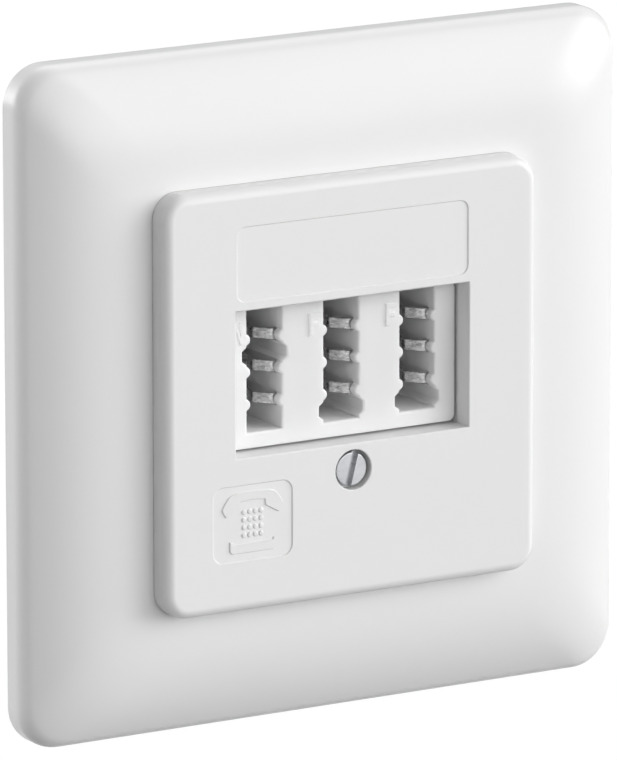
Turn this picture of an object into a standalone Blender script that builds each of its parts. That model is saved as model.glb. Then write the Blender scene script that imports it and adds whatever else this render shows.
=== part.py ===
"""Flush telephone wall socket with three coded jacks, built as separate pieces.

Units are metres and +Z is up. The socket faces -Y, the wall is the plane Y = 0, and the origin is
the centre of the cover frame on that plane. What lies behind the wall, at +Y, sits in the wall box.
"""

import math

import bmesh
import bpy
from mathutils import Matrix, Vector

# Gap between pieces that touch, and how far a cutter runs past the surface that it opens
GAP = 0.0003
PAST = 0.001

# Cover frame, whose size follows from the support ring that it covers
FRAME_PAST_RING = 0.00475
FRAME_CORNER = 0.005
FRAME_SIDE = 0.0024
FRAME_ROLL = 0.002
FRAME_SLOPE = 25.0
FRAME_HEIGHT = 0.00756
FRAME_WALL = 0.002
COLLAR_WALL = 0.0016
LEDGE_HEIGHT = 0.0049
LEDGE_THICKNESS = 0.0011
LEDGE_WIDTH = 0.0016

# Centre plate, which covers the terminals, its label field, its sign field and its edge
PLATE_ROOM = 0.0026
PLATE_CORNER = 0.0031
PLATE_PROUD = 0.00302
PLATE_WALL = 0.0018
PLATE_EDGE = 0.0009
WINDOW_COLLAR = 0.0013
LABEL_WIDTH = 0.0312
LABEL_HEIGHT = 0.00897
LABEL_ABOVE_WINDOW = 0.00095
LABEL_CORNER = 0.0012
SIGN_WIDTH = 0.0107
SIGN_HEIGHT = 0.00915
SIGN_LEFT = 0.00612
SIGN_UP = 0.00603
SIGN_CORNER = 0.0014
FIELD_DEPTH = 0.00022

# Centre screw, its recess and the threaded bush that takes it
SCREW_BELOW_WINDOW = 0.0032
SCREW_HEAD_RADIUS = 0.00205
SCREW_HEAD_HEIGHT = 0.0011
SCREW_SUNK = 0.00042
SCREW_SHANK_RADIUS = 0.00145
SCREW_SHANK_LENGTH = 0.0085
SCREW_SLOT = 0.0008
SCREW_SLOT_DEPTH = 0.0006
SCREW_TURN = -15.0
SCREW_HEAD_EDGE = 0.0002
RECESS_PLAY = 0.00036
SCREW_BOSS_WALL = 0.00105
INSERT_WALL = 0.0006
INSERT_LENGTH = 0.0058

# Jacks: slots, contact rows, noses and coding notches
JACK_PITCH = 0.0103
ROW_PITCH = 0.00385
MIDDLE_ROW_Z = 0.00265
SLOT_WIDTH = 0.0047
SLOT_ABOVE_ROWS = 0.00345
SLOT_BELOW_ROWS = 0.0038
SLOT_DEPTH = 0.014
SLOT_FLOOR = 0.0016
NOSE_RADIUS = 0.00072
NOSE_STAND = 0.0005
NOSE_DEPTH = 0.0012
NOTCH_DEPTH = 0.0006
NOTCH_MOUTH = 0.00205
NOTCH_BOTTOM = 0.00115
JACK_CODES = ("N", "F", "F")

# Jack block outside its slots
BLOCK_SET_BACK = 0.00275
BOSS_END_WALL = 0.00275
BOSS_TOP_WALL = 0.00047
BOSS_BOTTOM_WALL = 0.00135
BOSS_CORNER = 0.0009
STEM_SIDE = 0.0014
STEM_TOP = 0.002
STEM_WALL = 0.0011
STEM_CORNER = 0.0015
FLANGE_THICKNESS = 0.0011
FLANGE_CORNER = 0.003
FLANGE_LAP = 0.0018

# Contacts: bent strip, as distances from the slot's middle and depths behind the block's face
STRIP_THICKNESS = 0.0003
STRIP_WIDTH = 0.00125
TAIL_WIDTH = 0.0008
TIP_OUT = 0.0026
TIP_BEHIND_NOSE = 0.0005
LIP_OUT = 0.00195
LIP_RADIUS = 0.0006
BOW_OUT = 0.00032
BOW_DEPTH = 0.0036
BOW_RADIUS = 0.0007
ROOT_OUT = 0.00275
ROOT_DEPTH = 0.0122
ROOT_RADIUS = 0.003
TAIL_PAST_BOARD = 0.0008

# Terminals, six above the jacks and four below
TERMINAL_SPACE = 0.0014
TERMINAL_ROOM = 0.00098
CLAMP_WIDTH = 0.0048
CLAMP_HEIGHT = 0.0056
CLAMP_EDGE = 0.0003
WIRE_BORE_RADIUS = 0.001
CLAMP_PIN = 0.0008
RIB_PAST_CLAMP = 0.0003
RIB_WIDTH = 0.0008
CLAMP_SCREW_RADIUS = 0.0012
CLAMP_HEAD_RADIUS = 0.0019
CLAMP_HEAD_HEIGHT = 0.0012
CLAMP_SCREW_SLOT = 0.0007
UPPER_COLUMNS = (-2.5, -1.5, -0.5, 0.5, 1.5, 2.5)
LOWER_COLUMNS = (-2.5, -1.5, 1.5, 2.5)

# Circuit board and rear cover
BOARD_THICKNESS = 0.0015
BOARD_BEHIND_BLOCK = 0.0016
COVER_WALL = 0.0013
COVER_PAST_PINS = 0.0024
COVER_CORNER = 0.003
COVER_BEHIND_BOARD = 0.0025
COVER_SCREW_SHANK = 0.0008
COVER_SCREW_HEAD = 0.0017
COVER_SCREW_HEAD_HEIGHT = 0.0011
COVER_SCREW_LENGTH = 0.0068

# Support ring and rivets
RING_PAST_SCREWS = 0.0055
RING_CORNER = 0.009
RING_THICKNESS = 0.001
RING_PLAY = 0.0005
BOX_SCREW_SPACING = 0.060
BOX_SLOT_LENGTH = 0.008
BOX_SLOT_WIDTH = 0.0036
RIVET_OUT = 0.0026
RIVET_SPACE = 0.0029
RIVET_RADIUS = 0.0009
RIVET_HEAD_RADIUS = 0.0014
RIVET_HEAD_HEIGHT = 0.0006
RIVET_HEAD_SLOPE = 0.0005
WIRE_HOLE_WIDTH = 0.0034
WIRE_HOLE_HEIGHT = 0.005
WIRE_HOLE_Z = 0.0076

# How finely round shapes are drawn
CORNER_STEPS = 6
ROUND_STEPS = 20
SMALL_ROUND_STEPS = 12
HOLE_STEPS = 8
NOSE_STEPS = 5
ROLL_STEPS = 4
CROWN_STEPS = 6
EDGE_STEPS = 4
BEND_STEPS = 3
SHARP_ANGLE = 35.0

# Places that follow from the sizes above. Depths are negative in front of the wall.
RING_SIZE = BOX_SCREW_SPACING + 2 * RING_PAST_SCREWS
FRAME_SIZE = RING_SIZE + 2 * FRAME_PAST_RING
PLATE_FACE = -(FRAME_HEIGHT + PLATE_PROUD)
PLATE_INSIDE = PLATE_FACE + PLATE_WALL
PLATE_RIM = -(LEDGE_HEIGHT + GAP)
ROWS = tuple(MIDDLE_ROW_Z + step * ROW_PITCH for step in (1, 0, -1))
JACKS = tuple(step * JACK_PITCH for step in (-1, 0, 1))
SLOT_TOP = ROWS[0] + SLOT_ABOVE_ROWS
SLOT_BOTTOM = ROWS[2] - SLOT_BELOW_ROWS
BLOCK_FACE = PLATE_FACE + BLOCK_SET_BACK
BLOCK_BACK = BLOCK_FACE + SLOT_DEPTH + SLOT_FLOOR
BOSS_TOP = SLOT_TOP + BOSS_TOP_WALL
BOSS_BOTTOM = SLOT_BOTTOM - BOSS_BOTTOM_WALL
BOSS_HALF = JACK_PITCH + SLOT_WIDTH / 2 + BOSS_END_WALL
WINDOW_TOP = BOSS_TOP + GAP
WINDOW_BOTTOM = BOSS_BOTTOM - GAP
WINDOW_HALF = BOSS_HALF + GAP
STEM_FRONT = PLATE_RIM
WINDOW_BACK = STEM_FRONT - GAP
SCREW_Z = WINDOW_BOTTOM - SCREW_BELOW_WINDOW
SCREW_SEAT = PLATE_FACE + SCREW_SUNK + SCREW_HEAD_HEIGHT + GAP
SCREW_BORE = SCREW_SHANK_RADIUS + GAP
INSERT_RADIUS = SCREW_BORE + INSERT_WALL
RECESS_RADIUS = SCREW_HEAD_RADIUS + RECESS_PLAY
STEM_HALF = BOSS_HALF + STEM_SIDE
STEM_TOP_Z = BOSS_TOP + STEM_TOP
STEM_BOTTOM_Z = SCREW_Z - INSERT_RADIUS - GAP - STEM_WALL
TERMINAL_PITCH = CLAMP_WIDTH + RIB_WIDTH + 2 * GAP
UPPER_Z = STEM_TOP_Z + TERMINAL_SPACE + CLAMP_HEIGHT / 2
LOWER_Z = STEM_BOTTOM_Z - TERMINAL_SPACE - CLAMP_HEIGHT / 2
TERMINALS = tuple((column * TERMINAL_PITCH, UPPER_Z) for column in UPPER_COLUMNS) + tuple(
    (column * TERMINAL_PITCH, LOWER_Z) for column in LOWER_COLUMNS
)
PLATE_SIZE = 2 * (CLAMP_HEIGHT / 2 - LOWER_Z + PLATE_ROOM + PLATE_WALL)
OPENING_SIZE = PLATE_SIZE + 2 * GAP
FLANGE_FRONT = -(RING_THICKNESS + GAP + FLANGE_THICKNESS)
FLANGE_BACK = FLANGE_FRONT + FLANGE_THICKNESS
CLAMP_BACK = FLANGE_FRONT - GAP
CLAMP_FRONT = PLATE_INSIDE + TERMINAL_ROOM + CLAMP_HEAD_HEIGHT + GAP
BOARD_FRONT = BLOCK_BACK + BOARD_BEHIND_BLOCK
BOARD_BACK = BOARD_FRONT + BOARD_THICKNESS
BOARD_HOLE_RADIUS = math.hypot(CLAMP_PIN, CLAMP_PIN) / 2 + GAP
PIN_END = BOARD_BACK + TAIL_PAST_BOARD
POST_RADIUS = TERMINAL_PITCH / 2 - CLAMP_PIN / 2 - 2 * GAP
COVER_INSIDE_HALF = max(STEM_HALF, UPPER_COLUMNS[-1] * TERMINAL_PITCH + CLAMP_PIN) + GAP
COVER_INSIDE_TOP = UPPER_Z + COVER_PAST_PINS
COVER_INSIDE_BOTTOM = LOWER_Z - COVER_PAST_PINS
COVER_FRONT = FLANGE_BACK + GAP
COVER_INSIDE_BACK = BOARD_BACK + COVER_BEHIND_BOARD
COVER_BACK = COVER_INSIDE_BACK + COVER_WALL
COVER_SEAT = COVER_BACK - COVER_SCREW_HEAD_HEIGHT - GAP
COVER_SCREWS = ((0.0, UPPER_Z), (0.0, LOWER_Z))
COVER_SCREW_BORE = COVER_SCREW_SHANK + GAP
RING_HALF_OPEN = COVER_INSIDE_HALF + COVER_WALL + RING_PLAY
RING_TOP_OPEN = COVER_INSIDE_TOP + COVER_WALL + RING_PLAY
RING_BOTTOM_OPEN = COVER_INSIDE_BOTTOM - COVER_WALL - RING_PLAY
RIVET_X = RING_HALF_OPEN + RIVET_OUT
RIVET_Z = WIRE_HOLE_Z + WIRE_HOLE_HEIGHT / 2 + RIVET_SPACE
RIVETS = ((-RIVET_X, RIVET_Z), (RIVET_X, RIVET_Z), (-RIVET_X, -RIVET_Z), (RIVET_X, -RIVET_Z))
WIRE_HOLES = tuple((side * RIVET_X, end * WIRE_HOLE_Z) for side in (-1, 1) for end in (-1, 1))
FLANGE_HALF = RIVET_X + RIVET_OUT
FLANGE_TOP = RING_TOP_OPEN + FLANGE_LAP
FLANGE_BOTTOM = RING_BOTTOM_OPEN - FLANGE_LAP


def clear_scene():
    """Removes what the scene holds, and makes the two collections."""
    for old in list(bpy.data.objects):
        bpy.data.objects.remove(old, do_unlink=True)
    for name in ("telephone_socket", "cutters"):
        collection = bpy.data.collections.new(name)
        bpy.context.scene.collection.children.link(collection)
    return bpy.data.collections["telephone_socket"], bpy.data.collections["cutters"]


PARTS, CUTTERS = clear_scene()


def material(name, colour, roughness, metallic=0.0):
    """A Principled material of one colour."""
    made = bpy.data.materials.new(name)
    made.use_nodes = True
    shader = made.node_tree.nodes["Principled BSDF"]
    shader.inputs["Base Color"].default_value = (*colour, 1.0)
    shader.inputs["Roughness"].default_value = roughness
    shader.inputs["Metallic"].default_value = metallic
    return made


COVER_WHITE = material("cover_plastic", (0.83, 0.83, 0.84), 0.28)
BLOCK_WHITE = material("block_plastic", (0.80, 0.80, 0.79), 0.38)
TINNED = material("tinned_spring", (0.72, 0.71, 0.69), 0.25, 1.0)
BRASS = material("brass", (0.76, 0.58, 0.28), 0.3, 1.0)
STEEL = material("zinc_plated_steel", (0.66, 0.67, 0.69), 0.32, 1.0)
BOARD = material("board_laminate", (0.42, 0.28, 0.12), 0.5)


def add(name, mesh, finish=None):
    """Links a mesh as an object: a part if it has a finish, or else a cutter."""
    made = bpy.data.objects.new(name, mesh)
    if finish is None:
        CUTTERS.objects.link(made)
        made.hide_render = True
        made.display_type = "WIRE"
    else:
        PARTS.objects.link(made)
        made.data.materials.clear()
        made.data.materials.append(finish)
    return made


def bake(made):
    """Puts the evaluated mesh in place of an object's mesh and modifiers."""
    graph = bpy.context.evaluated_depsgraph_get()
    mesh = bpy.data.meshes.new_from_object(made.evaluated_get(graph))
    made.modifiers.clear()
    made.data = mesh
    return made


def boolean(target, tool, operation):
    """Cuts a part by a cutter, or joins the cutter's shape to it."""
    step = target.modifiers.new(tool.name, "BOOLEAN")
    step.operation = operation
    step.object = tool
    step.solver = "EXACT"


def rounded(width, height, radius, centre_z=0.0):
    """Outline of a rounded rectangle as (x, z) points."""
    points = []
    for corner, (side_x, side_z) in enumerate(((1, 1), (-1, 1), (-1, -1), (1, -1))):
        middle_x = side_x * (width / 2 - radius)
        middle_z = centre_z + side_z * (height / 2 - radius)
        for step in range(CORNER_STEPS + 1):
            angle = math.pi / 2 * (corner + step / CORNER_STEPS)
            points.append((middle_x + radius * math.cos(angle), middle_z + radius * math.sin(angle)))
    return points


def rectangle(half_width, half_height, x=0.0, z=0.0):
    """Outline of a rectangle about a point."""
    return [(x + a * half_width, z + b * half_height) for a, b in ((1, 1), (-1, 1), (-1, -1), (1, -1))]


def circle(radius, x=0.0, z=0.0, steps=HOLE_STEPS):
    """Outline of a circle about a point, with straight runs that touch the true circle."""
    turns = [2 * math.pi * (step + 0.5) / steps for step in range(steps)]
    reach = radius / math.cos(math.pi / steps)
    return [(x + reach * math.cos(turn), z + reach * math.sin(turn)) for turn in turns]


def obround(length, width, x, z, upright):
    """Outline of a slot with round ends about a point."""
    points = []
    run = (length - width) / 2
    for end in (0, 1):
        for step in range(HOLE_STEPS // 2 + 1):
            angle = math.pi * (end + step / (HOLE_STEPS // 2)) - math.pi / 2
            along = (run if end == 0 else -run) + width / 2 * math.cos(angle)
            across = width / 2 * math.sin(angle)
            points.append((x - across, z + along) if upright else (x + along, z + across))
    return points


def loft(name, stations, finish, closed=False):
    """A body through rounded outlines, each given as (depth, width, height, radius, centre z)."""
    shape = bmesh.new()
    rings = []
    for depth, *outline in stations:
        rings.append([shape.verts.new((x, depth, z)) for x, z in rounded(*outline)])
    following = rings[1:] + rings[:1] if closed else rings[1:]
    for near, far in zip(rings, following):
        for i in range(len(near)):
            shape.faces.new((near[i - 1], near[i], far[i], far[i - 1]))
    if not closed:
        shape.faces.new(rings[0])
        shape.faces.new(rings[-1])
    bmesh.ops.recalc_face_normals(shape, faces=shape.faces)
    mesh = bpy.data.meshes.new(name)
    shape.to_mesh(mesh)
    shape.free()
    return add(name, mesh, finish)


def flat(name, outlines, front, back, finish=None):
    """A flat piece between two depths; an outline inside another is a hole in it."""
    curve = bpy.data.curves.new(name, "CURVE")
    curve.dimensions = "2D"
    curve.fill_mode = "BOTH"
    curve.extrude = (back - front) / 2
    for outline in outlines:
        spline = curve.splines.new("POLY")
        spline.points.add(len(outline) - 1)
        for point, (x, z) in zip(spline.points, outline):
            point.co = (x, z, 0.0, 1.0)
        spline.use_cyclic_u = True
    drawn = bpy.data.objects.new(name + "_curve", curve)
    CUTTERS.objects.link(drawn)
    graph = bpy.context.evaluated_depsgraph_get()
    mesh = bpy.data.meshes.new_from_object(drawn.evaluated_get(graph))
    bpy.data.objects.remove(drawn, do_unlink=True)
    bpy.data.curves.remove(curve)
    mesh.transform(Matrix.Translation((0, (front + back) / 2, 0)) @ Matrix.Rotation(math.pi / 2, 4, "X"))
    shape = bmesh.new()
    shape.from_mesh(mesh)
    bmesh.ops.remove_doubles(shape, verts=shape.verts, dist=1e-6)
    bmesh.ops.recalc_face_normals(shape, faces=shape.faces)
    shape.to_mesh(mesh)
    shape.free()
    return add(name, mesh, finish)


def block(name, low, high, finish=None):
    """A box between two corners."""
    low, high = Vector(low), Vector(high)
    size = high - low
    shape = bmesh.new()
    place = Matrix.Translation((low + high) / 2) @ Matrix.Diagonal((*size, 1.0))
    bmesh.ops.create_cube(shape, size=1.0, matrix=place)
    mesh = bpy.data.meshes.new(name)
    shape.to_mesh(mesh)
    shape.free()
    return add(name, mesh, finish)


def turned(name, profile, finish=None, hollow=False, steps=ROUND_STEPS):
    """A round piece about its own Z axis, from (radius, height) points down its outer side."""
    mesh = bpy.data.meshes.new(name)
    edges = [(i, i + 1) for i in range(len(profile) - 1)]
    if hollow:
        edges.append((len(profile) - 1, 0))
    mesh.from_pydata([(radius, 0.0, height) for radius, height in profile], edges, [])
    made = add(name, mesh, finish)
    screw = made.modifiers.new("Screw", "SCREW")
    screw.axis = "Z"
    screw.steps = steps
    screw.render_steps = steps
    screw.use_merge_vertices = True
    screw.merge_threshold = 0.00001
    screw.use_smooth_shade = True
    return made


def face_front(made, x, depth, z):
    """Stands a turned piece so that its +Z end looks at the room."""
    made.location = (x, depth, z)
    made.rotation_euler = (math.pi / 2, 0.0, 0.0)
    return made


def face_back(made, x, depth, z):
    """Stands a turned piece so that its +Z end looks into the wall."""
    made.location = (x, depth, z)
    made.rotation_euler = (-math.pi / 2, 0.0, 0.0)
    return made


def slotted_screw(name, head, shank, slot, turn, steps, finish):
    """A cheese-head screw whose head stands on its own XY plane.

    head and shank are each a radius and a length, slot is a width and a depth, turn is in degrees.
    """
    head_radius, head_height = head
    radius, length = shank
    slot_width, slot_depth = slot
    profile = (
        (0.0, head_height),
        (head_radius - SCREW_HEAD_EDGE, head_height),
        (head_radius, head_height - SCREW_HEAD_EDGE),
        (head_radius, 0.0),
        (radius, 0.0),
        (radius, -length + radius / 2),
        (radius / 2, -length),
        (0.0, -length),
    )
    made = turned(name, profile, finish, steps=steps)
    low = (-slot_width / 2, -2 * head_radius, head_height - slot_depth)
    high = (slot_width / 2, 2 * head_radius, head_height + PAST)
    cutter = block(name + "_slot", low, high)
    cutter.data.transform(Matrix.Rotation(math.radians(turn), 4, "Z"))
    boolean(made, cutter, "DIFFERENCE")
    bake(made)
    bpy.data.objects.remove(cutter, do_unlink=True)
    return made


def build_cover_frame():
    """Square frame with a rolled edge, a crowned face, a wall round the plate and a ledge behind it."""
    inner_size = FRAME_SIZE - 2 * FRAME_WALL
    inner_corner = FRAME_CORNER - FRAME_WALL
    collar_size = OPENING_SIZE + 2 * COLLAR_WALL
    plate_corner = PLATE_CORNER + GAP
    collar_corner = plate_corner + COLLAR_WALL
    under = FRAME_HEIGHT - FRAME_WALL

    def skin(outside, corner, inside, inside_corner, side, roll, height):
        """Stations up the side, round the roll and over the crown, which is level at its inner end."""
        slope = math.radians(FRAME_SLOPE)
        points = []
        for step in range(ROLL_STEPS + 1):
            turn = (math.pi / 2 - slope) * step / ROLL_STEPS
            points.append((roll * (1 - math.cos(turn)), side + roll * math.sin(turn)))
        start, shoulder = points[-1]
        run = (outside - inside) / 2
        power = math.tan(slope) * (run - start) / (height - shoulder)
        for step in range(1, CROWN_STEPS + 1):
            share = step / CROWN_STEPS
            rise = 1 - (1 - share) ** power
            points.append((start + (run - start) * share, shoulder + (height - shoulder) * rise))
        rows = []
        for inward, high in points:
            size = outside - 2 * inward
            rows.append((-high, size, size, corner + (inside_corner - corner) * inward / run))
        return rows

    stations = [(0.0, FRAME_SIZE, FRAME_SIZE, FRAME_CORNER)]
    outer = (FRAME_SIZE, FRAME_CORNER, OPENING_SIZE, plate_corner)
    stations += skin(*outer, FRAME_SIDE, FRAME_ROLL, FRAME_HEIGHT)
    ledge_size = OPENING_SIZE - 2 * LEDGE_WIDTH
    ledge_corner = plate_corner - LEDGE_WIDTH
    stations += [
        (-LEDGE_HEIGHT, OPENING_SIZE, OPENING_SIZE, plate_corner),
        (-LEDGE_HEIGHT, ledge_size, ledge_size, ledge_corner),
        (-LEDGE_HEIGHT + LEDGE_THICKNESS, ledge_size, ledge_size, ledge_corner),
        (-LEDGE_HEIGHT + LEDGE_THICKNESS, collar_size, collar_size, collar_corner),
    ]
    inner = (inner_size, inner_corner, collar_size, collar_corner)
    stations += reversed(skin(*inner, FRAME_SIDE / 2, FRAME_ROLL / 2, under))
    stations.append((0.0, inner_size, inner_size, inner_corner))
    return loft("cover_frame", stations, COVER_WHITE, closed=True)


def build_centre_plate():
    """Square cup with a window, a screw recess and two shallow fields in its face."""
    inside = PLATE_SIZE - 2 * PLATE_WALL
    inside_corner = PLATE_CORNER - PLATE_WALL
    stations = [
        (PLATE_INSIDE, inside, inside, inside_corner),
        (PLATE_RIM, inside, inside, inside_corner),
        (PLATE_RIM, PLATE_SIZE, PLATE_SIZE, PLATE_CORNER),
    ]
    for step in range(EDGE_STEPS + 1):
        turn = math.pi / 2 * step / EDGE_STEPS
        size = PLATE_SIZE - 2 * PLATE_EDGE * (1 - math.cos(turn))
        corner = PLATE_CORNER - PLATE_EDGE * (1 - math.cos(turn))
        depth = PLATE_FACE + PLATE_EDGE * (1 - math.sin(turn))
        stations.append((depth, size, size, corner))
    plate = loft("centre_plate", stations, COVER_WHITE)

    window_middle = (WINDOW_TOP + WINDOW_BOTTOM) / 2
    half_height = (WINDOW_TOP - WINDOW_BOTTOM) / 2
    within = PLATE_INSIDE - PLATE_WALL / 2
    collar = rectangle(WINDOW_HALF + WINDOW_COLLAR, half_height + WINDOW_COLLAR, 0.0, window_middle)
    boolean(plate, flat("window_collar", [collar], within, WINDOW_BACK), "UNION")
    boss = circle(RECESS_RADIUS + SCREW_BOSS_WALL, 0.0, SCREW_Z, ROUND_STEPS)
    boolean(plate, flat("screw_boss", [boss], within, WINDOW_BACK), "UNION")

    front = PLATE_FACE - PAST
    window = rectangle(WINDOW_HALF, half_height, 0.0, window_middle)
    boolean(plate, flat("window", [window], front, WINDOW_BACK + PAST), "DIFFERENCE")
    recess = circle(RECESS_RADIUS, 0.0, SCREW_Z, ROUND_STEPS)
    boolean(plate, flat("screw_recess", [recess], front, SCREW_SEAT), "DIFFERENCE")
    hole = circle(SCREW_BORE, 0.0, SCREW_Z, ROUND_STEPS)
    boolean(plate, flat("screw_hole", [hole], front, WINDOW_BACK + PAST), "DIFFERENCE")

    label_z = WINDOW_TOP + LABEL_ABOVE_WINDOW + LABEL_HEIGHT / 2
    label = rounded(LABEL_WIDTH, LABEL_HEIGHT, LABEL_CORNER, label_z)
    sign_x = -PLATE_SIZE / 2 + SIGN_LEFT + SIGN_WIDTH / 2
    sign_z = -PLATE_SIZE / 2 + SIGN_UP + SIGN_HEIGHT / 2
    sign = [(x + sign_x, z) for x, z in rounded(SIGN_WIDTH, SIGN_HEIGHT, SIGN_CORNER, sign_z)]
    fields = flat("label_and_sign_fields", [label, sign], front, PLATE_FACE + FIELD_DEPTH)
    boolean(plate, fields, "DIFFERENCE")
    return plate


def slot_outline(x, code, noses):
    """Outline of a jack's slot, with its coding notch and, at its mouth, a nose at each contact row."""
    notch_z = ROWS[0] - ROW_PITCH / 2 if code == "N" else ROWS[2] - ROW_PITCH / 2
    side = [
        (0.0, notch_z - NOTCH_MOUTH / 2),
        (-NOTCH_DEPTH, notch_z - NOTCH_BOTTOM / 2),
        (-NOTCH_DEPTH, notch_z + NOTCH_BOTTOM / 2),
        (0.0, notch_z + NOTCH_MOUTH / 2),
    ]
    if noses:
        sunk = NOSE_RADIUS - NOSE_STAND
        spread = math.acos(sunk / NOSE_RADIUS)
        for row in ROWS:
            for step in range(NOSE_STEPS + 1):
                turn = spread * (2 * step / NOSE_STEPS - 1)
                side.append((NOSE_RADIUS * math.cos(turn) - sunk, row + NOSE_RADIUS * math.sin(turn)))
    side.sort(key=lambda point: point[1])
    side = [(0.0, SLOT_BOTTOM)] + side + [(0.0, SLOT_TOP)]
    right = [(x + SLOT_WIDTH / 2 - inward, z) for inward, z in side]
    left = [(x - SLOT_WIDTH / 2 + inward, z) for inward, z in reversed(side)]
    return right + left


def build_jack_block():
    """Moulded block: boss with three coded slots, flange, terminal ribs and rear posts."""
    boss_middle = (BOSS_TOP + BOSS_BOTTOM) / 2
    boss = (2 * BOSS_HALF, BOSS_TOP - BOSS_BOTTOM, BOSS_CORNER, boss_middle)
    stem_middle = (STEM_TOP_Z + STEM_BOTTOM_Z) / 2
    stem = (2 * STEM_HALF, STEM_TOP_Z - STEM_BOTTOM_Z, STEM_CORNER, stem_middle)
    flange_middle = (FLANGE_TOP + FLANGE_BOTTOM) / 2
    flange = (2 * FLANGE_HALF, FLANGE_TOP - FLANGE_BOTTOM, FLANGE_CORNER, flange_middle)
    made = loft(
        "jack_block",
        [
            (BLOCK_FACE, *boss),
            (STEM_FRONT, *boss),
            (STEM_FRONT, *stem),
            (FLANGE_FRONT, *stem),
            (FLANGE_FRONT, *flange),
            (FLANGE_BACK, *flange),
            (FLANGE_BACK, *stem),
            (BLOCK_BACK, *stem),
        ],
        BLOCK_WHITE,
    )

    rib_half = CLAMP_HEIGHT / 2 + RIB_WIDTH
    ribs = []
    for columns, z in ((UPPER_COLUMNS, UPPER_Z), (LOWER_COLUMNS, LOWER_Z)):
        places = sorted({column + side for column in columns for side in (-0.5, 0.5)})
        ribs += [rectangle(RIB_WIDTH / 2, rib_half, place * TERMINAL_PITCH, z) for place in places]
    within = (FLANGE_FRONT + FLANGE_BACK) / 2
    boolean(made, flat("terminal_ribs", ribs, CLAMP_FRONT - RIB_PAST_CLAMP, within), "UNION")
    posts = [circle(POST_RADIUS, x, z, ROUND_STEPS) for x, z in COVER_SCREWS]
    boolean(made, flat("rear_posts", posts, within, BOARD_FRONT - GAP), "UNION")

    mouths = [slot_outline(x, code, True) for x, code in zip(JACKS, JACK_CODES)]
    mouth_back = BLOCK_FACE + NOSE_DEPTH + GAP / 4
    boolean(made, flat("slot_mouths", mouths, BLOCK_FACE - PAST, mouth_back), "DIFFERENCE")
    slots = [slot_outline(x, code, False) for x, code in zip(JACKS, JACK_CODES)]
    slot_front = BLOCK_FACE + NOSE_DEPTH
    boolean(made, flat("slots", slots, slot_front, BLOCK_FACE + SLOT_DEPTH), "DIFFERENCE")

    pocket_out = ROOT_OUT + STRIP_THICKNESS / 2 + GAP
    pocket_in = SLOT_WIDTH / 2 - GAP
    pocket_half = STRIP_WIDTH / 2 + GAP
    pockets = []
    for x in JACKS:
        for side in (-1, 1):
            middle = x + side * (pocket_out + pocket_in) / 2
            pockets += [rectangle((pocket_out - pocket_in) / 2, pocket_half, middle, z) for z in ROWS]
    boolean(made, flat("contact_pockets", pockets, slot_front + GAP / 2, BLOCK_BACK + PAST), "DIFFERENCE")

    holes = [circle(RIVET_RADIUS + GAP, x, z) for x, z in RIVETS]
    holes += [rectangle(CLAMP_PIN / 2 + GAP, CLAMP_PIN / 2 + GAP, x, z) for x, z in TERMINALS]
    holes += [obround(WIRE_HOLE_HEIGHT, WIRE_HOLE_WIDTH, x, z, True) for x, z in WIRE_HOLES]
    boolean(made, flat("flange_holes", holes, FLANGE_FRONT - PAST, FLANGE_BACK + PAST), "DIFFERENCE")
    bores = [circle(COVER_SCREW_BORE, x, z) for x, z in COVER_SCREWS]
    boolean(made, flat("post_bores", bores, FLANGE_BACK + PAST, BOARD_FRONT + PAST), "DIFFERENCE")
    insert_hole = circle(INSERT_RADIUS + GAP, 0.0, SCREW_Z, ROUND_STEPS)
    insert_back = STEM_FRONT + GAP + INSERT_LENGTH + GAP
    boolean(made, flat("insert_hole", [insert_hole], STEM_FRONT - PAST, insert_back), "DIFFERENCE")
    shank_hole = circle(SCREW_BORE, 0.0, SCREW_Z, ROUND_STEPS)
    shank_back = SCREW_SEAT + SCREW_SHANK_LENGTH + GAP
    boolean(made, flat("shank_hole", [shank_hole], STEM_FRONT, shank_back), "DIFFERENCE")
    return made


def rounded_path(corners, radii):
    """Points of a path whose inner corners are arcs of the given radii."""
    points = [Vector(corners[0])]
    for before, corner, after, radius in zip(corners, corners[1:], corners[2:], radii):
        corner = Vector(corner)
        back = (Vector(before) - corner).normalized()
        on = (Vector(after) - corner).normalized()
        half = back.angle(on) / 2
        centre = corner + (back + on).normalized() * (radius / math.sin(half))
        start = corner + back * (radius / math.tan(half)) - centre
        end = corner + on * (radius / math.tan(half)) - centre
        for step in range(BEND_STEPS + 1):
            points.append(centre + start.slerp(end, step / BEND_STEPS) * radius)
    points.append(Vector(corners[-1]))
    return points


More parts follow.
